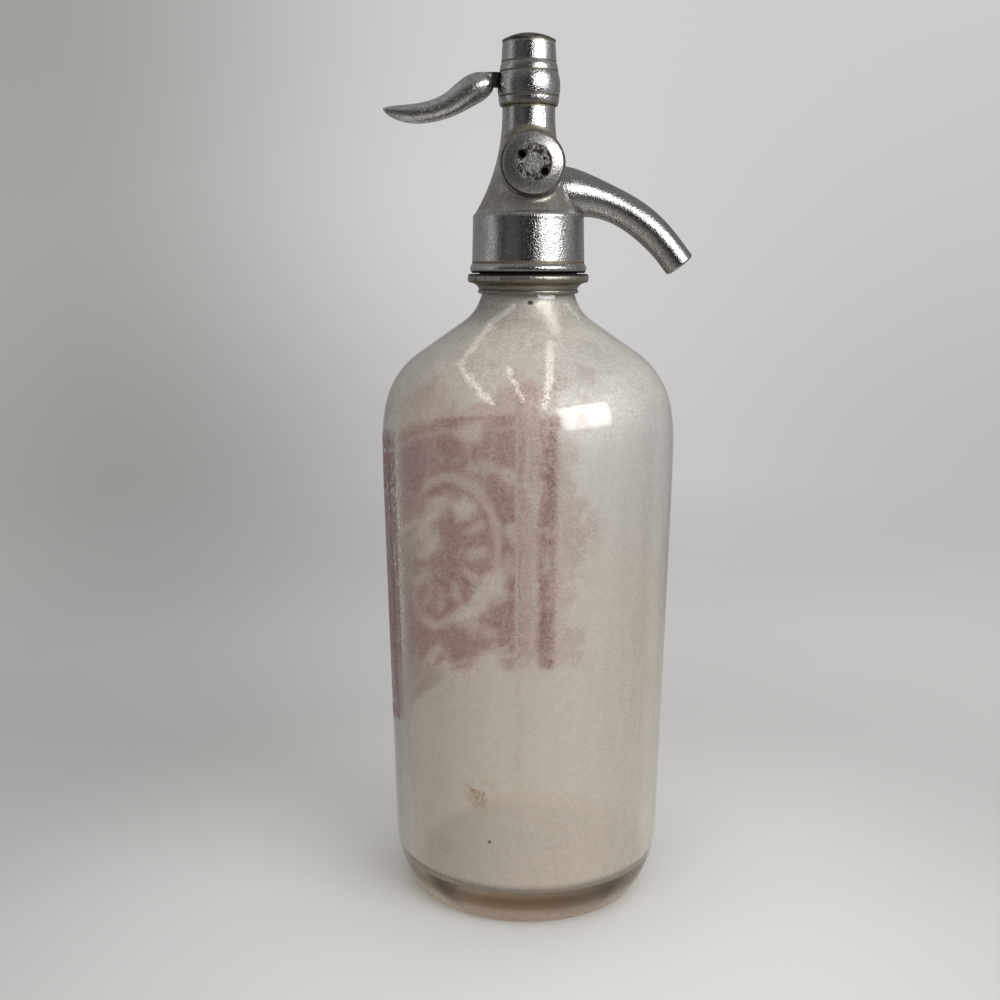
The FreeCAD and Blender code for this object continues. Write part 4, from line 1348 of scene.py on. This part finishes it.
@dataclass
class Head:
    """The cast valve housing with its plug and spout.

    The housing has a beaded skirt, a crown, a flare, a barrel and the side plug's boss.
    """

    skirt_z: float = 226.3
    skirt_foot_r: float = 19.8
    skirt_r: float = 19.45
    bead_height: float = 3.2
    bead_out: float = 0.75
    bore_r: float = 17.33
    seat_z: float = 241.6
    ferrule_r: float = 11.53
    ferrule_top: float = 242.9
    feed_r: float = 2.9
    feed_top: float = 245.2
    valve_seat_r: float = 5.43
    crown_z: float = 246.0
    crown_round: float = 1.1
    crown_bow: float = 0.35
    flare_foot: float = 247.1
    flare_foot_r: float = 18.5
    flare_top: float = 281.0
    barrel_r: float = 9.15
    barrel_bevel: float = 0.2
    bonnet_z: float = 283.1
    spigot_r: float = 8.0
    spigot_top: float = 287.1
    packing_r: float = 4.6
    packing_z: float = 276.6
    stem_r: float = 2.3
    chamber_r: float = 6.6
    chamber_z: float = 247.6
    chamber_top: float = 269.6
    boss_r: float = 11.2
    boss_reach: float = 16.8
    boss_z: float = 262.7
    boss_bore_r: float = 7.03
    boss_bore_back: float = 6.8
    boss_edge: float = 0.45
    fillet: float = 2.4
    fillet_sunk: float = 0.3

    def half_turn(self) -> float:
        """Half the angle that the flare's arc turns through, in radians."""
        return math.atan((self.flare_foot_r - self.barrel_r) / (self.flare_top - self.flare_foot))

    def flare_arc(self) -> float:
        """Radius of the flare's arc."""
        return (self.flare_top - self.flare_foot) / math.sin(2 * self.half_turn())

    def flare_radius(self, z: float) -> float:
        """Radius of the flare at a height."""
        arc = self.flare_arc()
        return self.barrel_r + arc - math.sqrt(arc * arc - (self.flare_top - z) ** 2)

    def section(self) -> list[Point]:
        """The half section of the housing without its boss.

        Returns:
            The section's points, the last of which joins the first.
        """
        form = Outline(self.bore_r, self.skirt_z).to(self.skirt_foot_r, self.skirt_z)
        form.bow(self.skirt_foot_r, self.skirt_z + self.bead_height, self.bead_out, 12)
        form.to(self.skirt_r, self.crown_z - self.crown_round, spacing=2.0)
        form.bow(self.flare_foot_r, self.flare_foot, self.crown_bow)
        turned = math.degrees(2 * self.half_turn())
        form.heading, form.step = 90.0 + turned, 0.6
        form.turn(self.flare_arc(), -turned)
        form.to(self.barrel_r, self.bonnet_z - self.barrel_bevel)
        form.to(self.barrel_r - self.barrel_bevel, self.bonnet_z).to(self.spigot_r, self.bonnet_z)
        form.to(self.spigot_r, self.spigot_top).to(self.packing_r, self.spigot_top)
        form.to(self.packing_r, self.packing_z).to(self.stem_r, self.packing_z)
        form.to(self.stem_r, self.chamber_top - 0.5)
        form.points += [(self.chamber_r * math.sin(math.radians(a)),
                         self.chamber_top - self.chamber_r * (1 - math.cos(math.radians(a))))
                        for a in range(24, 91, 6)]
        form.to(self.chamber_r, self.chamber_z).to(self.valve_seat_r, self.chamber_z)
        form.to(self.valve_seat_r, self.feed_top).to(self.feed_r, self.feed_top)
        form.to(self.feed_r, self.ferrule_top).to(self.ferrule_r, self.ferrule_top)
        return form.to(self.ferrule_r, self.seat_z).to(self.bore_r, self.seat_z).points

    def on_flare(self, at: Vector) -> Vector:
        """The point of the flare straight out from the axis through a place.

        Args:
            at: The place.

        Returns:
            The point.
        """
        z = min(max(at.z, self.flare_foot), self.flare_top)
        scale = self.flare_radius(z) / math.hypot(at.x, at.y)
        return Vector((at.x * scale, at.y * scale, at.z))

    def flare_normal(self, at: Vector) -> Vector:
        """The direction out of the flare.

        Args:
            at: A point of it.

        Returns:
            The direction.
        """
        step = 0.05
        lean = (self.flare_radius(at.z + step) - self.flare_radius(at.z - step)) / (2 * step)
        out = Vector((at.x, at.y, 0.0)).normalized()
        return (out - Vector((0.0, 0.0, lean))).normalized()

    def round_boss(self, radius: float, angle: float, y: float) -> Vector:
        """A point round the boss's axis."""
        return Vector((radius * math.cos(angle), y, self.boss_z + radius * math.sin(angle)))

    def boss_line(self, angle: float) -> list[Vector]:
        """One line of points from the boss's bore over its face to the flare.

        Args:
            angle: Radians round the boss's axis, from the spout's side upwards.

        Returns:
            The points, in millimetres.
        """
        edge, face_y = self.boss_edge, -self.boss_reach
        x, z = self.boss_r * math.cos(angle), self.boss_z + self.boss_r * math.sin(angle)
        corner = Vector((x, -math.sqrt(max(0.0, self.flare_radius(z) ** 2 - x * x)), z))
        out = Vector((math.cos(angle), 0.0, math.sin(angle)))
        normal = self.flare_normal(corner)
        along = (out - normal * out.dot(normal)).normalized()
        landing = self.on_flare(corner + along * self.fillet)
        lift = corner + Vector((0.0, -self.fillet, 0.0))
        line = [self.round_boss(self.boss_bore_r, angle, -self.boss_bore_back),
                self.round_boss(self.boss_bore_r, angle, face_y)]
        for turn in (math.radians(22.5 * i) for i in range(5)):
            line.append(self.round_boss(self.boss_r - edge * (1 - math.sin(turn)), angle,
                                        face_y + edge * (1 - math.cos(turn))))
        top = face_y + edge
        line += [self.round_boss(self.boss_r, angle, top + (lift.y - top) * i / 6)
                 for i in range(1, 7)]
        for share in (i / 10 for i in range(1, 11)):
            line.append(lift * (1 - share) ** 2 + corner * 2 * share * (1 - share)
                        + landing * share * share)
        return line + [landing - self.flare_normal(landing) * self.fillet_sunk]

    def boss(self) -> bmesh.types.BMesh:
        """The side plug's boss with the cast blend that carries it on the flare.

        Returns:
            The mesh.
        """
        bm = bmesh.new()
        layer = bm.verts.layers.int.new("row")
        verts = [bm.verts.new(point * MM) for point in self.boss_line(0.0)]
        for row, vert in enumerate(verts):
            vert[layer] = row
        edges = [bm.edges.new(pair) for pair in zip(verts, verts[1:] + verts[:1])]
        centre = (0.0, 0.0, self.boss_z * MM)
        bmesh.ops.spin(bm, geom=verts + edges, cent=centre, axis=(0.0, -1.0, 0.0),
                       angle=math.tau, steps=160, use_merge=True)
        for vert in bm.verts:
            angle = math.atan2(vert.co.z - centre[2], vert.co.x)
            vert.co = self.boss_line(angle)[vert[layer]] * MM
        bmesh.ops.remove_doubles(bm, verts=bm.verts, dist=MERGED)
        bmesh.ops.recalc_face_normals(bm, faces=bm.faces)
        return bm

    def build(self) -> None:
        """Models the housing and its boss, and dresses them, the plug and the spout."""
        # Rings: painted shade, near black, in the gap at the skirt's foot (226.3); painted shade
        # with dirt at the joint under the bonnet (282.7); dirt in the bead's groove and at the
        # crown.
        plate = WornPlate("cast_plate").make(CastDirtAndShade(DirtAndShadeRings((
            (226.3, 0.5, 1.6), (229.9, 0.30, 0.9), (282.7, 0.30, 0.8), (246.2, 0.5, 0.3)))))
        place(spun(self.section(), closed=True, steps=256), "head_casting", Slot.PLATE, plate,
              "head_body", crease=28.0)
        place(self.boss(), "plug_boss", Slot.PLATE, plate, "head_body", crease=28.0)
        plug = WornPlate("plug_plate", rough=0.26, grain=0.5, grain_depth=0.10,
                         bright=(0.41, 0.40, 0.385), dull=(0.25, 0.245, 0.23),
                         dirt=(0.05, 0.043, 0.033))
        dress(plug.make(PlugDirtAndShade(), PlugDome()), "side_plug")
        dress(FIBRE.make(), "side_plug_washer")
        dress(WornPlate("spout_metal", bright=(0.37, 0.37, 0.365)).make(), "spout")


@dataclass
class Collar:
    """The split ring round the neck, with painted shade, near black, in the gap under the skirt's
    bead, and dirt under its rim and in its cove.
    """

    # Painted shade, near black, in the gap under the skirt's bead (226.0); dirt lower down.
    dirt_and_shade: DirtAndShadeRings = DirtAndShadeRings(((226.0, 0.45, 1.6), (222.8, 0.6, 0.9), (220.7, 0.3, 0.6),
                          (222.0, 4.0, 0.4)))

    def build(self) -> None:
        """Dresses both halves."""
        metal = WornPlate("collar_metal", bright=(0.38, 0.37, 0.35), rough=0.16, wave_depth=0.25)
        dress(metal.make(self.dirt_and_shade), "collar_half_front", "collar_half_back")


@dataclass
class Bonnet:
    """The upper barrel with its turned lines, and the thin domed cap screwed into it.

    The cap has the return spring's pocket in its shank.
    """

    # Painted shade at the joint over the casting (283.3), darker just under the cap (304.1), and
    # dirt in the turned lines between.
    lines: DirtAndShadeRings = DirtAndShadeRings(((283.3, 0.25, 0.9), (286.1, 0.25, 0.7), (294.3, 0.25, 0.7),
                          (297.5, 0.25, 0.6), (304.1, 0.25, 0.6)))
    cap_foot: float = 299.5
    cap_seat: float = 304.2
    cap_pocket: float = 304.4
    cap_top: float = 307.2
    pocket_r: float = 4.5
    shank_r: float = 7.4
    cap_r: float = 9.2
    cap_edge: float = 0.5
    worn_edge: float = 0.15

    def cap(self) -> bmesh.types.BMesh:
        """The cap, turned.

        Returns:
            The mesh.
        """
        form = Outline(0.0, self.cap_pocket, step=10.0)
        form.to(self.pocket_r, self.cap_pocket).to(self.pocket_r, self.cap_foot)
        form.to(self.shank_r, self.cap_foot).to(self.shank_r, self.cap_seat)
        form.to(self.cap_r, self.cap_seat).to(self.cap_r, self.cap_seat + self.cap_edge)
        form.turn(self.worn_edge, 60.0)
        form.step = 2.0
        return spun(form.dome(self.cap_top - form.points[-1][1]).points)

    def build(self) -> None:
        """Dresses the bonnet, and models and dresses the cap."""
        dress(WornPlate("turned_plate").make(self.lines), "bonnet")
        place(self.cap(), "domed_cap", Slot.DARK, DARK_METAL.make(), "top_cap")


@dataclass
class ReturnSpring:
    """Coil between the cap and the piston's washer, which closes up as the piston rises."""

    foot_z: float = 296.8
    top_z: float = 304.4
    coil_r: float = 3.3
    wire_r: float = 0.38
    turns: int = 5
    steps_a_turn: int = 40
    lift: float = 2.39

    def wound(self) -> bmesh.types.BMesh:
        """The coil at rest, from a ring of wire screwed up the axis.

        Returns:
            The mesh.
        """
        bm = bmesh.new()
        start = Vector((self.coil_r * MM, 0.0, (self.foot_z + self.wire_r) * MM))
        bmesh.ops.create_circle(bm, radius=self.wire_r * MM, segments=16,
                                matrix=Matrix.Translation(start)
                                @ Matrix.Rotation(math.radians(90.0), 4, "X"))
        steps = self.steps_a_turn * self.turns
        climb = (self.top_z - self.foot_z - 2 * self.wire_r) / steps
        bmesh.ops.spin(bm, geom=bm.verts[:] + bm.edges[:], cent=(0, 0, 0), axis=UP,
                       dvec=(0, 0, climb * MM), angle=self.turns * math.tau, steps=steps)
        bmesh.ops.holes_fill(bm, edges=bm.edges, sides=0)
        bmesh.ops.recalc_face_normals(bm, faces=bm.faces)
        return bm

    def build(self, steel: bpy.types.Material) -> None:
        """Winds the coil and gives the piece a mesh of its own.

        Args:
            steel: Its finish.
        """
        coil = place(self.wound(), "spring_coil", Slot.STEEL, steel, "return_spring", crease=60.0)
        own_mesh(coil)


@dataclass
class Valve:
    """What works inside the head: lever, piston, seat, seals and the return spring."""

    lever: WornPlate = WornPlate("forged_plate", grain=0.85, grain_depth=0.10, wave_depth=0.06,
                                 bright=(0.64, 0.64, 0.63), rough=0.20, speckle=0.88)

    def build(self) -> None:
        """Dresses the pieces and adds the spring."""
        dress(self.lever.make(TongueDirtAndShade()), "lever")
        dress(RUBBER.make(), "tube_grommet", "head_gasket", "valve_disc", "stem_packing")
        dress(BRASS.make(), "tube_ferrule", "valve_seat", "packing_gland", "valve_holder",
              "valve_screw", "piston")
        steel = STEEL.make()
        dress(steel, "lever_pin", "spring_washer")
        ReturnSpring().build(steel)


# ------------------------------------------------------------------------------ the studio


@dataclass(frozen=True)
class Lamp:
    """A rectangular light that faces the siphon, in metres and watts.

    The offset is in degrees round the siphon, to the right of the camera.
    """

    name: str
    offset: float
    height: float
    away: float
    size: Point
    power: float
    colour: Colour = WHITE
    mirrored: bool = False
    aim: float = 0.2

    def build(self, front: float) -> None:
        """Adds the light.

        Args:
            front: Degrees round the siphon at which the camera stands.
        """
        data = bpy.data.lights.new(self.name, "AREA")
        data.shape, data.size, data.size_y = "RECTANGLE", *self.size
        data.energy, data.color = self.power, self.colour
        light = bpy.data.objects.new(self.name, data)
        bpy.context.scene.collection.objects.link(light)
        angle = math.radians(front + self.offset)
        light.location = (self.away * math.cos(angle), self.away * math.sin(angle), self.height)
        facing = Vector((0.0, 0.0, self.aim)) - light.location
        light.rotation_euler = facing.to_track_quat("-Z", "Y").to_euler()
        light.visible_camera = False
        light.visible_transmission = False
        light.visible_glossy = self.mirrored


@dataclass
class Studio:
    """Camera, pale floor, window light and the grey room that the metal mirrors.

    The mirrored tones are greys at degrees round the siphon, to the right of the camera.
    """

    eye: Triple = (-0.03882, -0.45847, 0.2285)
    front: float = -94.84
    turn: float = 3.6
    tilt: float = 10.33
    lens: float = 46.08
    film: float = 36.0
    floor_r: float = 2.4
    paper: Colour = (0.62, 0.613, 0.60)
    paper_mottle: Colour = (0.595, 0.588, 0.575)
    wall_left: Colour = (0.66, 0.66, 0.66)
    wall_right: Colour = (0.385, 0.375, 0.36)
    ceiling: Colour = (0.36, 0.36, 0.365)
    below: Colour = (0.20, 0.195, 0.185)
    mirrored: tuple[Point, ...] = (
        (-180, 0.30), (-140, 0.30), (-95, 0.36), (-85, 0.85), (-76, 0.66), (-66, 0.08),
        (-55, 0.05), (-45, 0.14), (-30, 0.15), (-20, 0.08), (-5, 0.05), (14, 0.03), (22, 0.08),
        (75, 0.52), (95, 0.46), (112, 0.30), (180, 0.30))
    lamps: tuple[Lamp, ...] = (
        Lamp("window", 47.0, 0.655, 1.3, (1.02, 0.52), 15.5, (1.0, 0.995, 0.98), True),
        Lamp("shoulder_fill", -18.0, 0.50, 0.24, (0.12, 0.12), 0.13),
        Lamp("overhead", 10.0, 1.5, 0.25, (0.9, 0.9), 8.0),
        Lamp("front_fill", -25.0, 0.35, 1.5, (1.4, 0.7), 6.4),
        Lamp("back_right", 138.0, 1.2, 1.0, (0.6, 0.5), 2.2))

    def camera(self) -> None:
        """Puts the camera at the viewing angle."""
        data = bpy.data.cameras.new("camera")
        data.lens, data.sensor_width = self.lens, self.film
        data.clip_start, data.clip_end = 0.01, 20.0
        camera = bpy.data.objects.new("camera", data)
        bpy.context.scene.collection.objects.link(camera)
        camera.location = self.eye
        camera.rotation_euler = (math.radians(90.0 - self.tilt), 0.0, math.radians(-self.turn))
        bpy.context.scene.camera = camera

    def floor(self) -> None:
        """Lays a pale floor whose edge fades away, with painted light and shade: the siphon's
        shadow at the back left, a pool of light round the siphon, and more light towards the back.
        """
        bm = bmesh.new()
        bmesh.ops.create_circle(bm, cap_ends=True, radius=self.floor_r, segments=96)
        mesh = bpy.data.meshes.new("floor")
        bm.to_mesh(mesh)
        bm.free()
        g = Finish("floor_paper")
        far = g.length(g.x, g.y)
        colour = g.blend(g.ramp(g.noise(400.0), 0.3, 0.7), self.paper, self.paper_mottle)
        # Painted shadow: the siphon's soft shadow, darker at the back left.
        floor_painted_shadow = g.ramp(g.away(-220.0, 200.0, 0.0, (1.0, 0.45, 1.0)), 0.0, 340.0, 0.76, 1.0)
        # Painted light: a pool of light round the siphon, dimmer further out.
        painted_light_pool = g.ramp(g.away(0.0, -60.0, 0.0), 50.0, 270.0, 1.14, 0.81)
        # Painted light: the floor grows lighter towards the back.
        colour = g.toned(colour, g.times(floor_painted_shadow, g.ramp(g.y, 0.0, 380.0, 0.97, 1.22),
                                         painted_light_pool))
        alpha = g.mix(g.seen(), g.ramp(far, 160.0, 550.0, 1.0, 0.0),
                      g.ramp(far, 300.0, 1000.0, 1.0, 0.0))
        mesh.materials.append(g.done(g.shader("BsdfPrincipled", Base_Color=colour, Roughness=0.7,
                                              Alpha=alpha)))
        floor = bpy.data.objects.new("floor", mesh)
        bpy.context.scene.collection.objects.link(floor)

    def backdrop_painted_shadow(self, g: Graph, across: Socket, at: float, size: float,
                   tone: float) -> Socket:
        """A pocket of painted shadow on the backdrop, a little below the eye.

        Args:
            g: The world's graph.
            across: Turns round the backdrop.
            at: Turns to the pocket's centre.
            size: Its half width in turns.
            tone: Its tone at the centre.

        Returns:
            Its tone, one outside it.
        """
        side = g.math("DIVIDE", g.minus(across, at), size)
        rise = g.math("DIVIDE", g.minus(g.z, -0.17), size * 4.5)
        return g.ramp(g.length(side, rise), 0.0, 1.6, tone, 1.0)

    def room(self) -> None:
        """Sets the world: a pale backdrop to look at, with painted light and shade on it, and a
        grey room for the metal to mirror.
        """
        world = bpy.data.worlds.new("room")
        bpy.context.scene.world = world
        world.use_nodes = True
        g = Graph(world.node_tree, "ShaderNodeOutputWorld", "Generated", 1.0)
        azimuth = g.times(g.math("ARCTAN2", g.y, g.x), 1.0 / math.tau)
        turned = g.plus(azimuth, 1.5 - self.front / 360.0)
        ramp = g.node("ShaderNodeValToRGB")
        g.feed(ramp.inputs[0], g.math("FRACT", turned))
        elements = ramp.color_ramp.elements
        while len(elements) < len(self.mirrored):
            elements.new(0.5)
        for element, (at, tone) in zip(elements, self.mirrored):
            element.position = 0.5 + at / 360.0
            element.color = (tone, tone, tone, 1.0)
        room = g.blend(g.ramp(g.z, 0.30, 0.95), ramp.outputs[0], self.ceiling)
        room = g.blend(g.ramp(g.z, -0.5, -0.1, 1.0, 0.0), room, self.below)
        behind = g.math("FRACT", g.plus(turned, 0.5))
        # Painted light and shade: the backdrop is lighter to one side as a falloff of light, has
        # two pockets of painted shadow, and grows a little darker upwards.
        backdrop = g.blend(g.ramp(behind, 0.505, 0.556, 1.0, 0.0), self.wall_right,
                           self.wall_left)
        backdrop = g.toned(backdrop, g.times(self.backdrop_painted_shadow(g, behind, 0.530, 0.035, 0.72),
                                             self.backdrop_painted_shadow(g, behind, 0.435, 0.060, 0.74),
                                             g.ramp(g.z, -0.06, 0.20, 1.0, 0.93)))
        g.end(g.shader("Background", Color=g.blend(g.seen(), room, backdrop)))

    def build(self) -> None:
        """Sets up the whole studio."""
        scene = bpy.context.scene
        scene.view_settings.view_transform = "Standard"
        scene.cycles.max_bounces = 24
        scene.cycles.transmission_bounces = 20
        scene.cycles.transparent_max_bounces = 24
        scene.cycles.caustics_reflective = False
        scene.cycles.caustics_refractive = False
        self.camera()
        self.floor()
        self.room()
        for lamp in self.lamps:
            lamp.build(self.front)


def main() -> None:
    """Builds the siphon's sub-assemblies in order, and the studio round them."""
    logging.basicConfig(level=logging.INFO, format="%(message)s")
    for assembly in (Studio(), Bottle(), Head(), Collar(), Bonnet(), Valve()):
        assembly.build()


if __name__ == "__main__":
    main()
